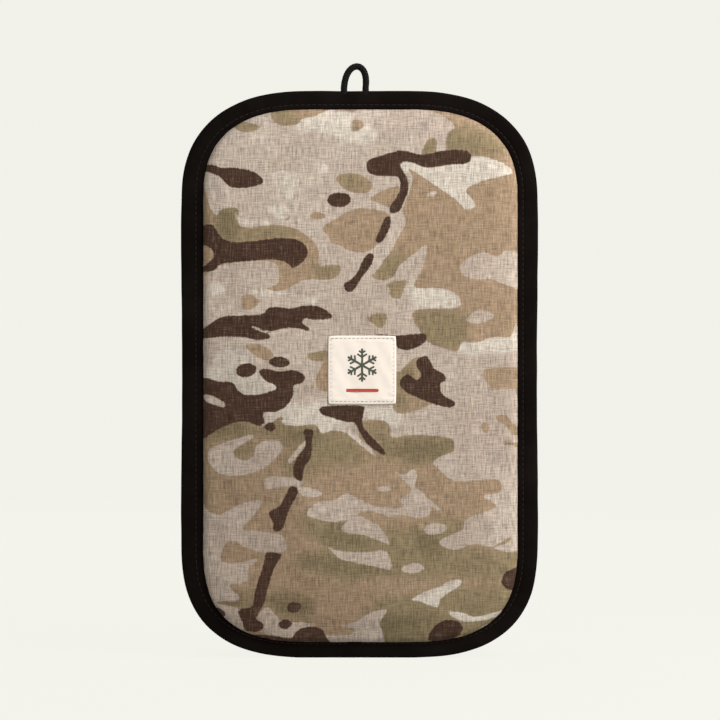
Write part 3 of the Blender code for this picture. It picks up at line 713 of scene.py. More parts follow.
BROWNS = [
    [(-112, 342), (-107, 344), (-102, 344), (-96, 342), (-88, 342), (-76, 340), (-69, 336), (-67, 332),
     (-70, 330), (-78, 328), (-88, 328), (-92, 330), (-98, 336), (-106, 339), (-112, 340)],
    [(-114, 301), (-109, 302), (-102, 302), (-96, 293), (-87, 290), (-74, 291), (-65, 292), (-56, 293),
     (-44, 292), (-38, 288), (-36, 282), (-40, 276), (-46, 272), (-51, 276), (-60, 278), (-76, 277),
     (-96, 275), (-102, 270), (-114, 270), (-108, 274), (-102, 279), (-103, 284), (-108, 288), (-114, 288)],
    [(-114, 229), (-109, 230), (-96, 238), (-82, 239), (-68, 240), (-62, 245), (-48, 244), (-38, 246),
     (-28, 245), (-20, 240), (-20, 237), (-31, 236), (-38, 237), (-40, 234), (-35, 230), (-36, 228),
     (-42, 230), (-53, 230), (-63, 228), (-75, 232), (-72, 229), (-63, 226), (-63, 223), (-72, 222),
     (-82, 224), (-98, 224), (-114, 223)],
    [(-22.5, 319.5), (-20, 323.5), (-14, 324.5), (-8, 323.5), (-6, 319.5), (-9, 315.5), (-15.5, 314.5),
     (-20.5, 316)],
    [(6, 347), (14, 350), (20, 352), (30, 354), (44, 351), (59, 354), (74, 354), (78, 350), (75, 345),
     (62, 344), (47, 342), (38, 345), (30, 346), (29, 342), (33, 335), (34, 326), (31, 319), (28, 312),
     (22, 310), (21, 314), (24, 319), (28, 326), (28, 333), (25, 336), (14, 336), (7, 338), (5, 342)],
    [(19, 308), (21.5, 307), (21, 300), (16.5, 291.5), (13.5, 289.5), (11, 291.5), (13.5, 297.5),
     (16.5, 305)],
    [(6, 282), (10, 281), (8, 274), (2, 266), (-3, 258), (-7, 255), (-10, 257), (-11, 261), (-6, 264),
     (-1, 270), (2, 277)],
    [(8, 226), (15, 226), (26, 225), (37, 226), (46, 226), (46, 221), (38, 216), (30, 215), (25, 218),
     (15, 224)],
    [(-86, 200.5), (-83.5, 204.5), (-76.5, 205.5), (-72, 203), (-73, 198.5), (-78.5, 196), (-84.5, 197)],
    [(-63.5, 206.5), (-59.5, 210), (-53, 210), (-48.5, 206.5), (-51, 203.5), (-58, 203)],
    [(-70, 200), (-65, 202), (-56, 200), (-46, 201), (-38, 197), (-40, 192), (-46, 190), (-46, 184),
     (-51, 176), (-58, 172), (-67, 171), (-66, 165), (-70, 162), (-78, 165), (-88, 164), (-98, 160),
     (-114, 154), (-114, 193), (-98, 193), (-88, 192), (-85, 187), (-80, 184), (-70, 184), (-58, 188),
     (-60, 191), (-66, 194)],
    [(-66.5, 161.5), (-63, 164.5), (-59, 163.5), (-59, 159.5), (-63, 158)],
    [(-28, 174), (-22, 176), (2, 176), (3, 172), (2, 163), (7, 156), (15, 148), (18, 143), (16, 142),
     (6, 149), (0, 158), (-3, 164), (-10, 165), (-20, 168), (-26, 170)],
    [(40, 208), (46, 211), (50, 206), (52, 202), (59, 198), (60, 194), (56, 191), (58, 184), (66, 179),
     (66, 176), (61, 175), (50, 178), (40, 182), (32, 186), (28, 192), (30, 196), (34, 198), (40, 194),
     (43, 198), (40, 203)],
    [(-39, 159), (-35, 160), (-32, 158), (-33, 152), (-34, 140), (-38, 134), (-40, 124), (-44, 125),
     (-46, 128), (-46, 135), (-42, 142), (-38, 147), (-38, 154)],
    [(-48, 120), (-43, 118), (-44, 113), (-48, 106), (-51, 98), (-54, 90), (-60, 89), (-60, 94), (-63, 100),
     (-62, 103), (-56, 106), (-52, 113)],
    [(-65, 74), (-55, 73), (-55, 70), (-59, 64), (-63, 52), (-66, 40), (-70, 32), (-72, 28), (-67, 24),
     (-68, 20), (-74, 18), (-80, 20), (-82, 26), (-84, 30), (-84, 34), (-75, 36), (-74, 40), (-72, 50),
     (-68, 62), (-66, 70)],
    [(-50.5, 35.5), (-48, 39), (-42.5, 39), (-40.5, 35.5), (-44.5, 32), (-48.5, 32.5)],
    [(-56.5, 24), (-54, 27), (-49.5, 27), (-47, 24), (-50.5, 20.5), (-54.5, 21)],
    [(-101, 34), (-98, 35), (-93.5, 31.5), (-94.5, 29), (-98.5, 30.5)],
    [(-82, 14), (-74, 16), (-62, 16), (-48, 14), (-44, 19), (-36, 22), (-27, 21), (-24, 16), (-24, 6),
     (-82, 6)],
    [(99, 54.5), (102.5, 60.5), (116.5, 64), (116.5, 47.5), (104, 48), (100, 51)],
    [(48, 15.5), (51.5, 21.5), (59, 26.5), (68.5, 26), (72, 20.5), (67.5, 14.5), (57.5, 11.5), (49, 12)],
]
SLITS = [
    [(-108, 184), (-100.5, 182), (-93.5, 177.5), (-94.5, 175), (-102, 177), (-108, 180)],
    [(-112.5, 287.5), (-104.5, 286.5), (-101.5, 281.5), (-104.5, 276.5), (-112.5, 276.5)],
]
OLIVES = [
    [(-89, 374), (-76, 376), (-68, 370), (-82, 366)],
    [(-16, 336), (-4, 338), (3, 330), (-7, 326)],
    [(-102, 314), (-84, 316), (-82, 301), (-58, 301), (-44, 296), (-65, 292), (-94, 291)],
    [(61, 370), (81, 369), (94, 364), (105, 356), (88, 350), (61, 350)],
    [(10, 274), (25, 282), (36, 277), (27, 266), (12, 264)],
    [(38, 242), (56, 244), (76, 238), (74, 221), (59, 214), (42, 224)],
    [(42, 362), (55, 362), (54, 350), (43, 350)],
    [(19, 261), (31, 263), (28, 252), (22, 252)],
    [(6, 238), (18, 240), (18, 232), (9, 232)],
    [(-38, 213), (-20, 214), (-20, 208), (-34, 207)],
    [(-62, 388), (-60, 374), (-48, 372), (-44, 379), (-51, 388)],
    [(-31, 274), (-14, 276), (-16, 267), (-29, 266)],
    [(-114, 332), (-105, 316), (-104, 302), (-114, 300)],
    [(25, 198), (36, 206), (38, 198), (36, 191), (30, 174), (24, 174)],
    [(100, 151), (116, 150), (116, 144), (102, 146)],
    [(-110, 154), (-85, 166), (-62, 163), (-53, 168), (-31, 162), (-4, 152), (3, 137), (-24, 134),
     (-38, 126), (-53, 128), (-51, 150), (-68, 154), (-94, 152)],
    [(-2, 164), (20, 164), (25, 154), (64, 153), (64, 142), (46, 137), (20, 138), (8, 152)],
    [(-38, 100), (-10, 96), (20, 90), (72, 96), (74, 76), (110, 74), (110, 56), (71, 56), (20, 56),
     (-24, 58), (-44, 67), (-24, 76), (-41, 90)],
    [(8, 40), (37, 45), (80, 50), (116, 47), (116, 4), (14, 4)],
    [(-75, 45), (-38, 44), (-34, 28), (-65, 34), (-96, 38), (-94, 47)],
    [(-90, 148), (-75, 148), (-76, 140), (-87, 140)],
    [(-114, 134), (-106, 126), (-107, 106), (-114, 103)],
    [(-96, 47), (-82, 42), (-84, 36), (-94, 38)],
]
MOSSES = [
    [(-98, 311), (-87, 313), (-82, 300), (-96, 296)],
    [(25, 150), (58, 152), (59, 142), (30, 140)],
    [(-48, 159), (-31, 160), (-28, 152), (-44, 150)],
    [(-38, 72), (3, 67), (20, 60), (3, 57), (-28, 60)],
    [(15, 30), (46, 32), (44, 13), (16, 11)],
    [(-62, 42), (-38, 42), (-38, 30), (-58, 32)],
    [(-24, 91), (3, 84), (0, 78), (-22, 82)],
    [(-94, 46), (-84, 42), (-84, 36), (-94, 38)],
    [(-109, 159), (-88, 164), (-92, 157), (-107, 154)],
    [(40, 90), (56, 84), (54, 74), (42, 76)],
]
PALES = [
    [(-44, 379), (-20, 382), (-4, 374), (12, 366), (3, 358), (-24, 366), (-41, 370)],
    [(-62, 316), (-51, 314), (-53, 308), (-60, 310)],
    [(-104, 260), (-94, 260), (-94, 255), (-104, 255)],
    [(-75, 256), (-54, 256), (-54, 253), (-72, 254)],
    [(-40, 252), (-31, 252), (-31, 248), (-38, 248)],
    [(37, 260), (56, 260), (71, 248), (54, 244), (38, 244)],
    [(28, 347), (108, 352), (108, 333), (78, 313), (50, 330)],
    [(-29, 344), (-23, 344), (-24, 338), (-29, 338)],
    [(-94, 200), (-58, 198), (-58, 186), (-85, 182)],
    [(-68, 178), (-24, 178), (-10, 162), (-24, 156), (-58, 164)],
    [(-107, 204), (-94, 204), (-90, 193), (-107, 193)],
    [(69, 221), (112, 228), (112, 214), (69, 213)],
    [(-98, 214), (-78, 213), (-76, 204), (-98, 199)],
    [(3, 176), (24, 174), (27, 162), (6, 166)],
    [(36, 41), (70, 56), (71, 50), (55, 35)],
    [(62, 34), (98, 34), (98, 28), (71, 25)],
    [(-24, 168), (12, 142), (6, 142), (-22, 157)],
]
CREAMS = [
    [(-60.3, 337.5), (-55.7, 339.9), (-45.2, 339.2), (-39.8, 337.5), (-40.5, 332.9), (-42.8, 329.8),
     (-46.3, 328.2), (-44.5, 323.5), (-48.7, 320), (-52.2, 322.4), (-53.3, 327), (-58.5, 329.4),
     (-60.3, 333.6)],
    [(-28.5, 341.5), (-26, 343.2), (-23.8, 341.2), (-25.2, 338.6), (-27.8, 338.8)],
    [(-88.3, 313), (-84.8, 308.4), (-80.2, 306), (-70.8, 305.6), (-60.3, 304.2), (-62.7, 301.8),
     (-72, 301.8), (-80.2, 302.1), (-84.1, 303.7), (-86, 307.2)],
    [(-59, 312), (-54, 315), (-48.5, 313.5), (-47.5, 309.5), (-51.5, 306.5), (-56.5, 308)],
    [(-44, 367.9), (-40.5, 371.4), (-30, 376), (-23, 381.9), (-6.7, 381.5), (-4.8, 374.9), (-5.5, 363.2),
     (-12.5, 360.9), (-17.2, 364.8), (-26.5, 367.9), (-32.3, 370.2), (-36.5, 366.2), (-41.7, 365.5)],
    [(-103.5, 258.5), (-98, 259.5), (-93, 258), (-94, 255.5), (-102, 255.5)],
    [(-39.5, 250.5), (-34, 251.8), (-30, 250), (-33.5, 248), (-38, 248.2)],
]
# Painted shade, not print: the ring over the lower left where the cloth is darkened as if in shade.
PAINTED_SHADES = [
    [(-130, 225), (-70, 205), (-46, 160), (-40, 100), (-30, 62), (10, 48), (14, 5), (-130, 5)],
]
PRINT = {
    "patch": PATCHES,
    "light": LIGHTS,
    "brown": BROWNS,
    "slit": SLITS,
    "olive": OLIVES,
    "moss": MOSSES,
    "pale": PALES,
    "cream": CREAMS,
    "painted_shade": PAINTED_SHADES,
}
REACH = 14.0  # millimetres round a shape over which its distance is worked out
RING_STEPS = 4


def smooth_ring(ring):
    """A closed Catmull-Rom curve through a ring's points."""
    p = np.array(ring, float)
    before, after, far = np.roll(p, 1, 0), np.roll(p, -1, 0), np.roll(p, -2, 0)
    runs = []
    for t in np.arange(RING_STEPS) / RING_STEPS:
        runs.append(0.5 * (2 * p + (after - before) * t + (2 * before - 5 * p + 4 * after - far) * t ** 2
                           + (3 * p - before - 3 * after + far) * t ** 3))
    return np.stack(runs, 1).reshape(-1, 2)


def depth_in_ring(points, ring):
    """Signed distance of each point from a closed curve, positive inside."""
    a, b = ring, np.roll(ring, -1, 0)
    edge = b - a
    gap = points[:, None] - a[None]
    t = np.clip((gap * edge).sum(2) / np.maximum((edge ** 2).sum(1), TINY), 0, 1)
    distance = np.sqrt(((gap - t[..., None] * edge) ** 2).sum(2)).min(1)
    above = (a[None, :, 1] > points[:, 1:2]) != (b[None, :, 1] > points[:, 1:2])
    rise = np.where(np.abs(edge[:, 1]) < TINY, TINY, edge[:, 1])
    crossing = above & (points[:, 0:1] < a[None, :, 0] + gap[..., 1] * (edge[:, 0] / rise)[None])
    return np.where(crossing.sum(1) % 2 == 1, distance, -distance)


def paint_print(obj, x, z):
    """Writes how deep each vertex lies in every colour of the print, looked up at (x, z) in millimetres."""
    points = np.stack([x, z], 1)
    depths = {}
    for name, shapes in PRINT.items():
        depth = np.full(len(points), -REACH)
        for shape in shapes:
            ring = smooth_ring(shape)
            near = ((points > ring.min(0) - REACH) & (points < ring.max(0) + REACH)).all(1)
            if near.any():
                depth[near] = np.maximum(depth[near], depth_in_ring(points[near], ring))
        depths[name] = depth
    depths["brown"] = np.minimum(depths["brown"], -depths.pop("slit"))
    for name, depth in depths.items():
        layer = obj.data.attributes.new(name, "FLOAT", "POINT")
        layer.data.foreach_set("value", np.clip(depth, -REACH, REACH).astype(np.float32))


# ---- padded panels ---------------------------------------------------------------------
OUTSIDE = 0.3  # metres from the middle, well clear of the bag

CLOTH_PASS = {
    "quality": 4,
    "mass": 0.3,
    "tension_stiffness": 12,
    "compression_stiffness": 12,
    "shear_stiffness": 6,
    "bending_stiffness": 0.6,
    "vertex_group_mass": "hold",
    "use_pressure": True,
    "uniform_pressure_force": 4.0,
    "shrink_min": -0.012,
}
CLOTH_FRAMES = 20
PAD_VOXEL = 5 * MM
HELD_H = 4.5 * MM  # height over the bound edge's plane up to which the foam is held
SINK, SWELL = -1.5 * MM, 2.2 * MM  # limits of the lift that the cloth pass gives
LIFT_SHARE = 0.4  # share of that lift that shows, because the photo's panel is taut

# Millimetres: rings of vertices beside the bound edge, closest where the cloth turns down under the tape
RIM_INSETS = [10.4, 11.4, 12.1, 12.5, 12.75, 13.0, 13.35, 13.8, 14.4, 14.9, 15.5, 16.3, 17.4, 18.8, 20.4]
RIM_INSETS += [22.2, 24.2, 26.4, 28.8]
FIELD_INSET = 30.6

# The face's rise past the bound edge: (mm past the edge, share of the rise)
CROWN = [(-0.2, 0.02), (0.2, 0.14), (0.9, 0.40), (1.9, 0.60), (3.6, 0.76), (6.4, 0.87), (10, 0.93)]
CROWN += [(17, 0.98), (33, 1.0), (90, 1.0)]
CROWN_BASE = 3.2 * MM
FLOOR_H = 1.3 * MM  # height of the flat floor that closes the shell, hidden under the tape


def rays(obj, points, side):
    """Where a line along Y meets the object from outside, for each (x, z) point; NaN where it misses."""
    bvh = BVHTree.FromObject(obj, bpy.context.evaluated_depsgraph_get())
    found = np.full(len(points), np.nan)
    for i, (x, z) in enumerate(points):
        hit = bvh.ray_cast(Vector((x, side * OUTSIDE, z)), Vector((0, -side, 0)))
        if hit[0] is not None:
            found[i] = hit[0].y
    return found


def apply_modifiers(obj):
    """Replaces the object's mesh with what its modifiers make of it."""
    evaluated = obj.evaluated_get(bpy.context.evaluated_depsgraph_get())
    mesh = bpy.data.meshes.new_from_object(evaluated)
    obj.modifiers.clear()
    obj.data = mesh


def inflate(node, side):
    """Cloth pass over a copy of the foam: the bound edge is held and the face swells. Returns the copy."""
    pad = bpy.data.objects.new("pad_" + node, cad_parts[node].data.copy())
    bpy.context.scene.collection.objects.link(pad)
    remesh = pad.modifiers.new("Remesh", "REMESH")
    remesh.mode = "VOXEL"
    remesh.voxel_size = PAD_VOXEL
    apply_modifiers(pad)
    hold = pad.vertex_groups.new(name=CLOTH_PASS["vertex_group_mass"])
    held = [v.index for v in pad.data.vertices if side * v.co.y < EDGE_Y + HELD_H]
    hold.add(held, 1.0, "REPLACE")
    cloth = pad.modifiers.new("Cloth", "CLOTH")
    for key, value in CLOTH_PASS.items():
        setattr(cloth.settings, key, value)
    cloth.settings.effector_weights.gravity = 0.0
    cloth.collision_settings.use_collision = False
    cloth.point_cache.frame_start = 1
    cloth.point_cache.frame_end = CLOTH_FRAMES
    for step in range(1, CLOTH_FRAMES + 1):
        bpy.context.scene.frame_set(step)
    apply_modifiers(pad)
    bpy.context.scene.frame_set(1)
    return pad


def crown(inset, side):
    """Height of the face above the bound edge's plane at each inset."""
    rise = (PANEL_Y if side == FRONT else BACK_Y) - EDGE_Y - CROWN_BASE
    insets = [0] + [BIND_W + past * MM for past, _ in CROWN]
    shares = [0] + [share for _, share in CROWN]
    return np.interp(inset, np.array(insets), CROWN_BASE + rise * np.array(shares))


def panel_points():
    """Rings close to the bound edge and an even triangular field inside them.

    Returns the (x, z) points, their inset and distance along the edge, and how far the tape spreads there.
    """
    points, normals, s = even(whole_path(), PANEL_STEP)
    points, normals, s = points[:-1], normals[:-1], s[:-1]
    xz, inset, run, fuller = [], [], [], []
    for d in np.array(RIM_INSETS) * MM:
        xz.append(points + normals * d)
        inset.append(np.full(len(s), d))
        run.append(s)
        fuller.append(spread(normals))
    rows = []
    for k, z in enumerate(np.arange(30 * MM, BAG_H - 30 * MM, PANEL_STEP * 0.866)):
        xs = np.arange(-HALF_W, HALF_W, PANEL_STEP) + (k % 2) * PANEL_STEP / 2
        rows.append(np.stack([xs, np.full_like(xs, z)], 1))
    field = np.concatenate(rows)
    border, turned, along = (points + normals * FIELD_INSET * MM)[::3], normals[::3], s[::3]
    near = np.argmin(((field[:, None, :] - border[None]) ** 2).sum(2), 1)
    inward = ((field - border[near]) * turned[near]).sum(1)
    keep = inward > 0
    xz.append(field[keep])
    inset.append(FIELD_INSET * MM + inward[keep])
    run.append(along[near[keep]])
    fuller.append(spread(turned[near[keep]]))
    return [np.concatenate(part) for part in (xz, inset, run, fuller)]


def clockwise(face, xz):
    """True where a face's points run clockwise as seen from the front."""
    a, b, c = (xz[i] for i in face[:3])
    return (b[0] - a[0]) * (c[1] - a[1]) - (b[1] - a[1]) * (c[0] - a[0]) < 0


def panel_faces(xz, to_back):
    """Triangles over (x, z) points, all facing the back or all facing the front."""
    faces = delaunay_2d_cdt([Vector(p) for p in xz], [], [], 0, MESH_TINY)[2]
    return [f if clockwise(f, xz) == to_back else f[::-1] for f in faces]


def padded_panel(side, seed):
    """The face cloth over its foam: swollen middle, puckers along the sewn edge and shallow lumps."""
    name = PANEL_NAME[side]
    foam, cloth = name + "_foam", name + "_panel_cloth"
    xz, inset, run, fuller = panel_points()
    # The panel starts further in where the tape is widened; the extra on the left is partly painted shade.
    inset = inset - fuller * (1.0 if side == FRONT else BACK_SPREAD)
    height = crown(inset, side)
    pad = inflate(foam, side)
    swollen = rays(pad, xz, side)
    still = rays(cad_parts[foam], xz, side)
    bpy.data.objects.remove(pad)
    lift = np.clip(np.nan_to_num(side * (swollen - still)), SINK, SWELL)
    height += LIFT_SHARE * lift * np.clip((inset - BIND_W) / (9 * MM), 0, 1)
    x, z = xz[:, 0], xz[:, 1]
    edge = np.exp(-((inset - BIND_W - 2.5 * MM) / (5 * MM)) ** 2)
    height += edge * 0.32 * MM * wobble(run, 17 * MM, seed)
    lumps = wobble(x + 0.6 * z, 74 * MM, seed + 1) + wobble(z - 0.5 * x, 96 * MM, seed + 2)
    height += 0.24 * MM * lumps * np.clip((inset - BIND_W) / (20 * MM), 0, 1)
    verts = np.stack([x, side * (EDGE_Y + height), z], 1)
    weave = flat_weave(x, z)

    rim = int(np.argmax(run[1:] < run[:-1])) + 1  # number of vertices in the outermost ring
    under = verts[:rim].copy()
    under[:, 1] = side * (EDGE_Y + FLOOR_H)
    count = len(verts)
    closing = [(i, (i + 1) % rim, count + (i + 1) % rim, count + i) for i in range(rim)]
    closing.append(tuple(range(count, count + rim)))
    if side == FRONT:
        closing = [f[::-1] for f in closing]
    faces = panel_faces(xz, side == BACK) + closing
    verts, weave = np.concatenate([verts, under]), np.concatenate([weave, weave[:rim]])
    panel = make(name + "_panel", verts, faces, CAMO, BODY[side], "camo_cloth", (cloth, foam), weave)
    return panel


def print_flat(obj, mirror):
    """Lays the print on a panel as it is, or upside down for the other side of the bag."""
    co = np.zeros(len(obj.data.vertices) * 3)
    obj.data.vertices.foreach_get("co", co)
    x, z = co[0::3] / MM, co[2::3] / MM
    paint_print(obj, x, BAG_H / MM - z if mirror else z)


def print_strip(obj, level):
    """Lays the print along a strip: its length runs to and fro across the print, from one level up."""
    reach = 210  # millimetres of the print's width that are used
    start = 84
    weave = np.zeros(len(obj.data.vertices) * 3, np.float32)
    obj.data.attributes["weave"].data.foreach_get("vector", weave)
    run, across = weave[0::3] / MM + start, weave[1::3] / MM
    paint_print(obj, np.abs(run % (2 * reach) - reach) - reach / 2, level + across)


front_panel = padded_panel(FRONT, 11)
print_flat(front_panel, False)
back_panel = padded_panel(BACK, 23)
print_flat(back_panel, True)

# ---- bound edges -----------------------------------------------------------------------
BULGE_H, BULGE_REACH = 92 * MM, 42 * MM  # height from the middle where the sides bulge, and how far along


def binding(side, seed):
    """Folded tape round a panel's edge, drawn down along its stitches, with a wandering inner edge."""
    name = PANEL_NAME[side]
    top, rear = BIND_T / MM, BIND_REAR_W / MM
    # (inset, height) in millimetres: rear face, round the edge, front face, then back inside the fold
    profile = [(rear, -0.02), (7.5, -0.10), (4.0, -0.10), (1.6, -0.02), (0.55, 0.35), (0.05, 1.2)]
    profile += [(0.0, top / 2), (0.05, top - 1.2), (0.55, top - 0.30), (1.6, top + 0.12), (3.6, top + 0.30)]
    profile += [(6.2, top + 0.36), (8.2, top + 0.26), (9.2, top + 0.02), (9.7, top - 0.12)]
    profile += [(10.2, top + 0.02), (11.2, top + 0.20), (12.2, top + 0.12), (12.65, top - 0.20)]
    profile += [(12.55, top - 0.65), (11.0, top - 0.75), (1.4, top - 0.9), (1.2, 0.9), (rear, 0.75)]
    section = [(i * MM, side * (EDGE_Y + h * MM)) for i, h in profile]

    points, normals, at = even(whole_path(), BINDING_STEP)
    fuller = spread(normals) if side == FRONT else BACK_SPREAD * spread(normals)
    level = np.abs(points[:, 1] - BAG_H / 2)
    bulge = np.exp(-((level - BULGE_H) / BULGE_REACH) ** 2)

    def shape(s, insets, ys):
        free = np.clip((insets - 8 * MM) / (4.6 * MM), 0, 1)
        beyond = np.clip((insets - 10.2 * MM) / (2.2 * MM), 0, 1)
        top_side = (side * ys > EDGE_Y + 2 * MM) * 1.0
        insets = insets + free * top_side * 0.34 * MM * wobble(s, 26 * MM, seed)
        # Partly painted shade: the tape's extra width on the left covers the panel's side wall where it lies
        # in shadow.
        insets = insets + beyond * top_side * np.interp(s, at, fuller)
        waves = 0.16 * MM * wobble(s, 11 * MM, seed + 1) + 0.14 * MM * wobble(s, 60 * MM, seed + 2)
        outer = 1 - np.clip(insets / (3 * MM), 0, 1)
        out = 0.15 * MM + 0.12 * MM * wobble(s, 43 * MM, seed + 3) + 0.75 * MM * np.interp(s, at, bulge)
        return insets - outer * out, ys + side * top_side * waves

    sweep(name + "_binding_tape", whole_path(), section, BINDING, BINDING_STEP, True, shape,
          body=BODY[side], slot="binding_tape", replaces=(name + "_binding",))
    stitch, faces = capsule(3.1 * MM, 0.30 * MM, 0.25 * MM)
    rows = [("", STITCH_INSET, BIND_T + 0.02 * MM, side), ("rear_", REAR_STITCH_INSET, -0.12 * MM, -side)]
    for row, inset, height, facing in rows:
        frames = edge_frames(whole_path(), inset, side * (EDGE_Y + height), 4.0 * MM, facing)
        scatter(f"{name}_binding_{row}stitches", stitch, faces, frames, BLACK_THREAD,
                body=BODY[side], slot="binding_tape")


def binding_overlap(side):
    """Where the tape's two ends meet under the bag: the upper end is turned in and laps the lower one."""
    top, rear = BIND_T / MM, BIND_REAR_W / MM
    profile = [(12.7, 3.6), (12.95, 4.3), (12.5, top + 0.65), (9.7, top + 0.42), (6.0, top + 0.85)]
    profile += [(1.6, top + 0.60), (0.2, top - 0.1), (-0.45, top / 2), (0.2, 0.1), (1.6, -0.45), (6.0, -0.55)]
    profile += [(rear, -0.4), (rear, 0.4), (1.0, 0.5), (0.5, top / 2), (1.0, top - 0.4), (9.0, top - 0.3)]
    # (x in millimetres, how far the section closes up there) from one end of the lap to the other
    stations = [(-9.0, 0.55), (-8.6, 0.25), (-7.5, 0.08), (-5.0, 0.0), (-2.5, 0.0), (0.0, 0.0), (1.3, 0.08)]
    stations += [(1.75, 0.45)]
    verts = []
    for x, shrink in stations:
        for inset, height in profile:
            height += (top / 2 - height) * shrink * 0.22
            verts.append((x * MM, side * (EDGE_Y + height * MM), max(inset * MM, 0.0)))
    verts = np.array(verts)
    weave = np.stack([verts[:, 0] + 0.3, verts[:, 2], verts[:, 2] * 0], 1)
    faces = tube_faces(len(stations), len(profile))
    make(PANEL_NAME[side] + "_binding_lap", verts, faces, BINDING, BODY[side], "binding_tape",
         weave=weave, solid=True)


for side, seed in ((FRONT, 31), (BACK, 47)):
    binding(side, seed)
    binding_overlap(side)

# ---- linings ---------------------------------------------------------------------------
FILM_T = 0.3 * MM
FOLD_T = 0.5 * MM  # the bands' film, which is modelled as a closed section


def flat_lining(side, seed):
    """Film lining on the inside of a panel, drawn tight at the edge and a little loose in the middle."""
    name = PANEL_NAME[side]
    xz, inset = panel_points()[:2]
    x, z = xz[:, 0], xz[:, 1]
    ripples = wobble(x + 0.3 * z, 38 * MM, seed) * 0.5 + wobble(z - 0.7 * x, 52 * MM, seed + 1) * 0.6
    puff = np.clip((inset - BIND_W) / (24 * MM), 0, 1)
    depth = 1.1 * MM - puff * (0.7 + 0.5 * ripples) * MM
    verts = np.stack([x, side * (EDGE_Y + depth), z], 1)
    film = make(name + "_lining", verts, panel_faces(xz, side == FRONT), FOIL, BODY[side], "foil_lining",
                (name + "_liner",), flat_weave(x, z))
    thicken(film, FILM_T)


def lining_section(y_front):
    """Film from the zip, over the foam's front edge and back along the inside to the panel."""
    y_back = EDGE_Y + 0.8 * MM
    depth = y_back - y_front
    under = LINING_INSET - FOLD_T
    section = [(12.2 * MM, y_front + 0.2 * MM), (14.6 * MM, y_front - 0.35 * MM)]
    section += [(16.8 * MM, y_front - 0.1 * MM), (LINING_INSET, y_front + 1.1 * MM)]
    steps = 7
    for k in range(steps + 1):
        sag = 0.35 * MM * math.sin(math.pi * k / steps)
        section.append((LINING_INSET + sag, y_front + depth * (0.06 + 0.90 * k / steps)))
    section += [(LINING_INSET, y_back), (under, y_back), (under, (y_front + y_back) / 2)]
    section += [(under, y_front + 1.4 * MM), (16.4 * MM, y_front + 0.5 * MM), (12.2 * MM, y_front + 0.6 * MM)]
    return section


def ripple_lining(seed):
    """A shape for sweep() that leaves the film loose on the inside of its foam."""
    def shape(s, insets, ys):
        free = np.clip((insets - 16 * MM) / (1.6 * MM), 0, 1)
        return insets + free * 0.45 * MM * wobble(s + ys * 40 * MM * 6, 31 * MM, seed), ys
    return shape


def band_lining(name, path, seed):
    """Film over the foam of a band of the box."""
    section = lining_section(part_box(name + "_liner")[0].y)
    sweep(name + "_lining", path, section, FOIL, STRIP_STEP, shape=ripple_lining(seed),
          body="box", slot="foil_lining", replaces=(name + "_liner",))


flat_lining(FRONT, 61)
flat_lining(BACK, 67)
band_lining("gusset", zip_path(SEAM_X + SEAM_GAP), 71)
band_lining("bottom", bottom_path(SEAM_X - SEAM_GAP), 73)

# ---- gusset, bottom and hinge ----------------------------------------------------------


def band_section(inset, y_low, y_high):
    """Cloth over a band's foam: a turned front edge, then a shallow swell towards the back seam."""
    depth = y_high - y_low
    section = [(inset + 0.35 * MM, y_low), (inset - 0.25 * MM, y_low + 0.15 * MM)]
    steps = 9
    for k in range(steps + 1):
        swell = 0.9 * MM * math.sin(math.pi * (0.08 + 0.84 * k / steps))
        section.append((inset - swell, y_low + depth * (0.05 + 0.94 * k / steps)))
    section += [(inset + 0.8 * MM, y_high), (inset + 0.8 * MM, (y_low + y_high) / 2)]
    section.append((inset + 0.75 * MM, y_low + 0.3 * MM))
    return section


def pucker(seed):
    """A shape for sweep() that lets the middle of a band wave in and out."""
    def shape(s, insets, ys):
        middle = np.sin(np.clip((ys - ys.min()) / (ys.max() - ys.min()), 0, 1) * math.pi)
        return insets - 0.28 * MM * wobble(s, 33 * MM, seed) * middle, ys
    return shape


def band(name, path, inset, level, shape=None):
    """One padded band of the box, between the zip and the back."""
    low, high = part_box(name + "_cloth")
    cloth = sweep(name + "_band", path, band_section(inset, low.y, high.y), CAMO, BAND_STEP,
                  shape=shape, body="box", slot="camo_cloth", replaces=(name + "_cloth", name + "_foam"))
    print_strip(cloth, level)


band("gusset", zip_path(SEAM_X + SEAM_GAP), GUSSET_INSET, 205, pucker(81))
band("bottom", bottom_path(SEAM_X - SEAM_GAP), BOTTOM_INSET + 0.9 * MM, 120)


def hinge_cloth():
    """The strip under the bag that the door hangs on, between the box and the door."""
    low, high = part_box("hinge_strip")
    section = strip_section(BOTTOM_INSET, TAPE_T, low.y - 1.4 * MM, high.y + 0.2 * MM)
    hinge = sweep("hinge_cloth", bottom_path(SEAM_X - SEAM_GAP), section, BINDING, STRIP_STEP,
                  slot="binding_tape", replaces=("hinge_strip",))
    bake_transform(hinge)


def seam_stitches():
    """Rows of stitches along the gusset's front edge and across the hinge strip."""
    stitch, faces = capsule(2.6 * MM, 0.24 * MM, 0.15 * MM)
    pitch = 3.4 * MM
    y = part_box("gusset_cloth")[0].y + 2.2 * MM
    path = zip_path(SEAM_X + SEAM_STITCH_GAP)
    frames = edge_frames(path, GUSSET_INSET - 0.32 * MM, y, pitch, lift=0.12 * MM)
    scatter("gusset_front_stitches", stitch, faces, frames, TAN_THREAD, body="box", slot="camo_cloth")
    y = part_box("hinge_strip")[1].y - 1.6 * MM
    path = bottom_path(SEAM_X - SEAM_STITCH_GAP)
    frames = edge_frames(path, BOTTOM_INSET - 0.1 * MM, y, pitch, lift=0.08 * MM)
    lap_low, lap_high = -10.8 * MM, 3.4 * MM
    frames = [place for place in frames if not lap_low < place[0][0] < lap_high]  # the tape's lap folds here
    scatter("hinge_stitches", stitch, faces, frames, BLACK_THREAD, body="box", slot="binding_tape")


hinge_cloth()
seam_stitches()

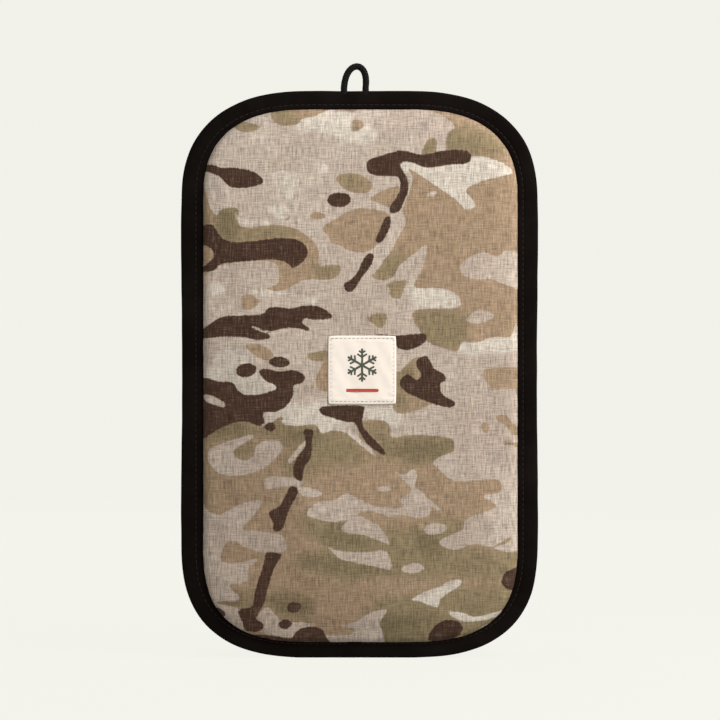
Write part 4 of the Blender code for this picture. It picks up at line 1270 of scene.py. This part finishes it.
# ---- zip -------------------------------------------------------------------------------
TOOTH_PITCH = 1.75 * MM  # two turns of the closed chain, one from each tape
TOOTH_INSET = TAPE_INSET - 1.75 * MM
TAB_CELLS = 12
TAB_STITCH_IN = (0.78, 0.84)  # where the tab's box of stitches lies, as shares of its half sizes


def zip_tape(side):
    """The woven tape that one half of the zip sits on."""
    name = ZIP_NAME[side]
    low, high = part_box(name + "_zip_tape")
    section = strip_section(TAPE_INSET, TAPE_T, low.y, high.y)
    sweep(name + "_zip_tape_cloth", zip_path(SEAM_X + SEAM_GAP), section, ZIP_TAPE, STRIP_STEP,
          body=BODY[side], slot="zip_tape", replaces=(name + "_zip_tape",))


def tooth(side):
    """One turn of the coil from outside: a bar that swells at its inner head and dips at its tail."""
    # (along the bar, radius, dip) in millimetres
    rings = [(-1.55, 0.30, -0.75), (-1.30, 0.50, -0.40), (-0.60, 0.55, -0.05), (0.40, 0.56, 0.0)]
    rings += [(1.10, 0.66, -0.05), (1.50, 0.62, -0.20), (1.72, 0.30, -0.38)]
    sides = 8
    verts = []
    for out, radius, dip in rings:
        for k in range(sides):
            a = 2 * math.pi * k / sides
            verts.append((radius * math.cos(a) * MM, out * MM * -side, (radius * math.sin(a) + dip) * MM))
    return verts, tube_faces(len(rings), sides)


def zip_chain(side):
    """Coil turns beside their tape's edge, every other one belonging to the other tape."""
    name, body = ZIP_NAME[side], BODY[side]
    low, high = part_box(name + "_zip_coil")
    y = (low.y + high.y) / 2
    path = zip_path(ZIP_END_X + (0.5 * TOOTH_PITCH if side == FRONT else 0.0))
    turn, faces = tooth(side)
    scatter(name + "_zip_teeth", turn, faces, edge_frames(path, TOOTH_INSET, y, TOOTH_PITCH), COIL,
            body=body, slot="zip_coil", replaces=(name + "_zip_coil",))

    core = []
    for a in np.linspace(0, 2 * math.pi, 11)[:-1]:
        inset = TAPE_INSET - (0.35 + 0.55 * math.sin(a)) * MM
        core.append((inset, y + side * 0.2 * MM + 1.35 * MM * math.cos(a)))
    sweep(name + "_zip_core", path, core, ZIP_TAPE, STRIP_STEP, body=body, slot="zip_tape")

    stitch, faces = capsule(2.2 * MM, 0.20 * MM, 0.1 * MM)
    for k, out in enumerate((0.55, 1.15)):
        places = edge_frames(path, TAPE_INSET - 2.36 * MM, y + side * out * MM, 2.6 * MM)
        scatter(f"{name}_zip_sewing_{k + 1}", stitch, faces, places, BLACK_THREAD, body=body, slot="zip_tape")
    path = zip_path(SEAM_X + SEAM_STITCH_GAP)
    places = edge_frames(path, TAPE_INSET, y + side * 4.6 * MM, 3.2 * MM, lift=0.08 * MM)
    scatter(name + "_zip_tape_stitches", stitch, faces, places, BLACK_THREAD, body=body, slot="zip_tape")


def end_tab(side_name, out):
    """Folded tape over the end of the zip, sewn down in a box; out is 1 on the right and -1 on the left."""
    low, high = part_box("zip_tab_" + side_name)
    mid = (low + high) / 2
    half_x, half_y = (high.x - low.x) / 2, (high.y - low.y) / 2
    slope = math.tan(out * math.atan2(high.z - low.z - 0.7 * MM, 2 * half_x))
    grid = np.linspace(-1, 1, TAB_CELLS + 1)
    verts = []
    for u in grid:
        for v in grid:
            edge = max(abs(u), abs(v)) ** 8
            x = mid.x + u * half_x * (1 - 0.02 * v * v)
            y = mid.y + v * half_y * (1 - 0.02 * u * u)
            z = mid.z - 0.42 * MM * (1 - edge) + u * half_x * slope + 0.05 * MM * math.sin(9 * u + 4 * v)
            verts.append((x, y, z))
    faces = grid_faces(len(grid), len(grid), wrap_cols=False)
    weave = [(v[1], v[0], 0) for v in verts]
    tab = make("zip_end_tab_" + side_name, verts, faces, BINDING, "box", "binding_tape",
               ("zip_tab_" + side_name,), weave)
    thicken(tab, 0.6 * MM, 1.0)

    up = np.array([0, 0, -1.0])
    stitch, stitch_faces = capsule(2.2 * MM, 0.22 * MM, 0.12 * MM)
    places = []
    for along, count in ((np.array([1.0, 0, 0]), 4), (np.array([0, 1.0, 0]), 6)):
        for edge in (-1, 1):
            for k in range(count):
                t = (k + 0.5) / count * 2 - 1
                u = (t if along[0] else edge) * TAB_STITCH_IN[0]
                v = (t if along[1] else edge) * TAB_STITCH_IN[1]
                z = mid.z - 0.46 * MM + u * half_x * slope
                at = np.array([mid.x + u * half_x, mid.y + v * half_y, z])
                places.append((at, along, np.cross(up, along), up))
    scatter("zip_end_stitches_" + side_name, stitch, stitch_faces, places, BLACK_THREAD,
            body="box", slot="binding_tape")


for side in (FRONT, BACK):
    zip_tape(side)
    zip_chain(side)

for side_name, out in (("left", -1), ("right", 1)):
    for node, mat in (("slider_", METAL), ("pull_", METAL), ("zip_stop_", STEEL), ("pull_grip_", RUBBER)):
        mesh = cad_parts[node + side_name].data
        mesh.materials.clear()
        mesh.materials.append(mat)
    end_tab(side_name, out)

# ---- label -----------------------------------------------------------------------------
LABEL_CELLS = 48
SEWN_AT = 0.915  # the row of stitches, as a share of the label's half size
LABEL_T = 0.5 * MM
LABEL_MIDDLE = (LABEL_LOW + LABEL_HIGH) / 2
LABEL_HALF = (LABEL_HIGH - LABEL_LOW) / 2
PRINT_CELL = 0.9 * MM
PRINT_LIFT = 0.07 * MM
INK_T = 0.1 * MM


def label_patch():
    """Square woven label that lies on the panel, its edges drawn down by its stitches."""
    line = np.linspace(-1, 1, LABEL_CELLS + 1)
    u, v = np.meshgrid(line, line, indexing="ij")
    rounding = 0.010 * (u * v) ** 12
    x = LABEL_MIDDLE.x + LABEL_HALF.x * u * (1 - 0.012 * v ** 6 - rounding)
    z = LABEL_MIDDLE.z + LABEL_HALF.z * v * (1 - 0.012 * u ** 6 - rounding)
    base = rays(front_panel, np.stack([x.ravel(), z.ravel()], 1), FRONT).reshape(x.shape)
    edge = np.maximum(np.abs(u), np.abs(v))
    sewn = np.exp(-((edge - SEWN_AT) / 0.022) ** 2)
    loft = 0.95 * MM - 0.28 * MM * sewn - 0.35 * MM * np.clip((edge - 0.95) / 0.05, 0, 1)
    loft += 0.21 * MM * wobble(x + 0.6 * z, 17 * MM, 5) * np.clip((0.93 - edge) / 0.1, 0, 1)
    loft += 0.10 * MM * wobble(z + 0.15 * x, 3.2 * MM, 9) * np.clip((edge - 0.72) / 0.15, 0, 1)
    top = np.stack([x, base - loft, z], 2).reshape(-1, 3)
    faces = [f[::-1] for f in grid_faces(len(line), len(line), wrap_cols=False)]
    weave = flat_weave(x.ravel(), z.ravel())
    patch = make("label_patch", top, faces, LABEL, "door", "label_cloth", ("label",), weave)
    thicken(patch, LABEL_T)
    return patch


def label_stitches():
    """A row of short slanting stitches along each side of the label."""
    stitch, faces = capsule(2.3 * MM, 0.23 * MM, 0.2 * MM)
    up = np.array([0, -1.0, 0])
    places = []
    count = 15
    for horizontal in (True, False):
        along = np.array([1.0, 0, 0.12]) if horizontal else np.array([0.60, 0, 0.22])
        for edge in (-1, 1):
            for k in range(count):
                t = ((k + 0.5) / count * 2 - 1) * 0.93
                u, v = (t, edge * SEWN_AT) if horizontal else (edge * SEWN_AT, t)
                x, z = LABEL_MIDDLE.x + LABEL_HALF.x * u, LABEL_MIDDLE.z + LABEL_HALF.z * v
                y = rays(front_panel, [(x, z)], FRONT)[0] - 0.72 * MM
                places.append((np.array([x, y, z]), along, np.cross(up, along), up))
    scatter("label_stitches", stitch, faces, places, GREY_THREAD, body="door", slot="label_cloth")


def flat_print(name, patch, outlines, mat):
    """Thin printed shapes that lie along the label, from (x, z) outlines cut into short cells."""
    verts, faces = [], []
    for line in outlines:
        line = np.asarray(line, float)
        low, high = line.min(0), line.max(0)
        cols, rows = (max(1, math.ceil(size / PRINT_CELL)) for size in high - low)
        points = [Vector(p) for p in line]
        edges = [(i, (i + 1) % len(line)) for i in range(len(line))]
        for i in range(cols + 1):
            for j in range(rows + 1):
                at = low + (high - low) * np.array([i / cols, j / rows])
                if depth_in_ring(at[None] / MM, line / MM)[0] > 0.12:
                    points.append(Vector(at))
        flat, _, cells, _, _, _ = delaunay_2d_cdt(points, edges, [], 1, MESH_TINY)
        start = len(verts)
        y = rays(patch, flat, FRONT)
        verts += [(p.x, h - PRINT_LIFT, p.y) for p, h in zip(flat, y)]
        faces += [tuple(start + i for i in f) for f in cells]
    ink = make(name, verts, faces, mat, "door", "label_cloth", smooth=False)
    thicken(ink, INK_T)


def bar(x, z, angle, length, width):
    """A bar that starts at (x, z) and ends in a blunt point."""
    d = np.array([math.cos(angle), math.sin(angle)])
    n = np.array([-d[1], d[0]]) * width / 2
    start = np.array([x, z])
    end = start + d * length
    tip = end + d * width * 0.35
    return [start - n, end - n, tip, end + n, start + n]


def snowflake(x, z, size):
    """A plain six-armed snow crystal with two pairs of twigs on each arm."""
    shapes = []
    for k in range(6):
        a = math.pi / 6 + k * math.pi / 3
        shapes.append(bar(x, z, a, size, size * 0.14))
        for reach, twig in ((0.50, 0.34), (0.76, 0.22)):
            for lean in (-1, 1):
                px, pz = x + math.cos(a) * size * reach, z + math.sin(a) * size * reach
                shapes.append(bar(px, pz, a + lean * math.pi / 3.2, size * twig, size * 0.115))
    return shapes


def label():
    """The woven label with its stitches, snow crystal and stripe."""
    patch = label_patch()
    label_stitches()
    crystal = snowflake(LABEL_MIDDLE.x, LABEL_MIDDLE.z + 3.4 * MM, 11.2 * MM)
    flat_print("label_icon", patch, crystal, ICON_INK)
    length = 22 * MM
    stripe = bar(LABEL_MIDDLE.x - length / 2, LABEL_MIDDLE.z - 14.2 * MM, 0, length, 2.2 * MM)
    flat_print("label_stripe", patch, [stripe], STRIPE_INK)


label()

# ---- hang loop -------------------------------------------------------------------------
LOOP_FOOT = BAG_H + 2.4 * MM  # height at which the arch begins
LOOP_LEAN = 1.4 * MM  # how far the top leans to the right
LOOP_ROUND = 0.8  # below 1, the arch's shoulders are fuller than a sine's
FOOT_STEPS = 7
CORD_SIDES = 20
CORD_SWELL = 1.10  # how much thicker the braid is than the CAD cord
BRAID_RELIEF = 0.03


def hang_loop():
    """A braided cord arch whose feet go down into the binding's fold; it bends where it leaves the tape."""
    low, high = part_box("hang_loop")
    radius = (high.y - low.y) / 2
    y = (high.y + low.y) / 2
    left, right, top = low.x + radius, high.x - radius, high.z - radius
    mid, half = (left + right) / 2, (right - left) / 2 - 0.25 * MM
    arc = np.linspace(0, math.pi, 40)
    x = mid - half * np.cos(arc) + LOOP_LEAN * np.sin(arc) ** LOOP_ROUND
    z = LOOP_FOOT + (top - LOOP_FOOT) * np.sin(arc) ** LOOP_ROUND
    foot = LOOP_FOOT + np.linspace(-6.5, -0.4, FOOT_STEPS) * MM
    x = np.concatenate([np.full(FOOT_STEPS, x[0]), x, np.full(FOOT_STEPS, x[-1])])
    z = np.concatenate([foot, z, foot[::-1]])
    line = np.stack([x, np.full_like(x, y), z], 1)
    tangent = np.gradient(line, axis=0)
    tangent /= np.linalg.norm(tangent, axis=1)[:, None]
    depth = np.array([0, 1.0, 0])
    across = np.cross(tangent, depth)
    run = np.concatenate([[0], np.cumsum(np.linalg.norm(np.diff(line, axis=0), axis=1))])
    verts, weave = [], []
    for p, a, s in zip(line, across, run):
        for k in range(CORD_SIDES):
            t = 2 * math.pi * k / CORD_SIDES
            strand = math.sin(2 * math.pi * s / BRAID_PITCH + BRAID_STRANDS * t)
            r = radius * (CORD_SWELL + BRAID_RELIEF * strand)
            verts.append(p + r * (math.cos(t) * depth + math.sin(t) * a))
            weave.append((s, t, 0))
    cord = make("hang_loop_cord", verts, tube_faces(len(line), CORD_SIDES), CORD,
                slot="cord", replaces=("hang_loop",), weave=weave, solid=True)
    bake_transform(cord)


hang_loop()

# ---- studio ----------------------------------------------------------------------------
FLOOR_TONE = (0.888, 0.888, 0.823)
FLOOR_GLOW = 0.975
FLOOR_R, BEND_R, WALL_H = 3.4, 1.4, 5.0  # metres
WORLD_TONE = (1.0, 1.0, 0.985, 1.0)
WORLD_GLOW = 0.82
MIDDLE = (0, 0, BAG_H / 2)
CAMERA_AT = (0.35 * MM, -2.6, 208 * MM)
SEEN_W = 0.504  # width seen at the plane of the front edge, in metres
SENSOR = 36


def studio():
    """A pale floor that sweeps up into walls all round, lit evenly so that it shows no horizon."""
    look = Look("studio_floor")
    mottle = look.noise(look.place(), 3.0, 2.0)
    mat = look.done(look.mix(mottle, (0.020, 0.020, 0.019), (0.022, 0.022, 0.021)), 1.0, specular=0.0)
    look.set(look.shader.inputs["Emission Color"], FLOOR_TONE)
    look.set(look.shader.inputs["Emission Strength"], FLOOR_GLOW)
    profile = [(1.0, 0.0), (2.6, 0.0), (FLOOR_R, 0.0)]
    for a in np.linspace(0.1, QUARTER, 10):
        profile.append((FLOOR_R + BEND_R * math.sin(a), BEND_R - BEND_R * math.cos(a)))
    profile += [(FLOOR_R + BEND_R, 3.4), (FLOOR_R + BEND_R, WALL_H)]
    turns = 64
    verts = []
    for r, z in profile:
        for k in range(turns):
            a = 2 * math.pi * k / turns
            verts.append((r * math.cos(a), r * math.sin(a), z - 0.05 * MM))
    faces = [tuple(range(turns))] + [tuple(reversed(f)) for f in grid_faces(len(profile), turns)]
    make("studio_floor", verts, faces, mat)


def lamp(name, at, size, power, color=(1, 1, 1)):
    """A rectangular lamp that faces the middle of the bag."""
    data = bpy.data.lights.new(name, "AREA")
    data.shape = "RECTANGLE"
    data.size, data.size_y = size
    data.energy = power
    data.color = color
    obj = bpy.data.objects.new(name, data)
    obj.location = at
    obj.rotation_euler = (Vector(MIDDLE) - Vector(at)).to_track_quat("-Z", "Y").to_euler()
    bpy.context.scene.collection.objects.link(obj)


def lights():
    """A pale world, a soft key from the upper right, and weaker fills from the side and behind."""
    world = bpy.data.worlds.new("Studio")
    world.use_nodes = True
    background = world.node_tree.nodes["Background"]
    background.inputs["Color"].default_value = WORLD_TONE
    background.inputs["Strength"].default_value = WORLD_GLOW
    bpy.context.scene.world = world
    lamp("key", (0.57, -0.68, 0.95), (0.4, 0.4), 12.6, (1.0, 0.99, 0.97))
    lamp("side", (1.7, -0.30, 0.75), (0.9, 0.9), 24, (1.0, 0.97, 0.92))
    lamp("back", (-0.6, 2.0, 1.5), (1.2, 1.0), 22)


def camera():
    """Level with a point just above the bag's middle, square to its face and far enough to look flat."""
    data = bpy.data.cameras.new("camera")
    data.sensor_width = SENSOR
    data.lens = SENSOR * (-CAMERA_AT[1] - EDGE_Y) / SEEN_W
    obj = bpy.data.objects.new("camera", data)
    obj.location = CAMERA_AT
    obj.rotation_euler = (QUARTER, 0, 0)
    bpy.context.scene.collection.objects.link(obj)
    bpy.context.scene.camera = obj


studio()
lights()
camera()
bpy.context.scene.view_settings.view_transform = "Standard"
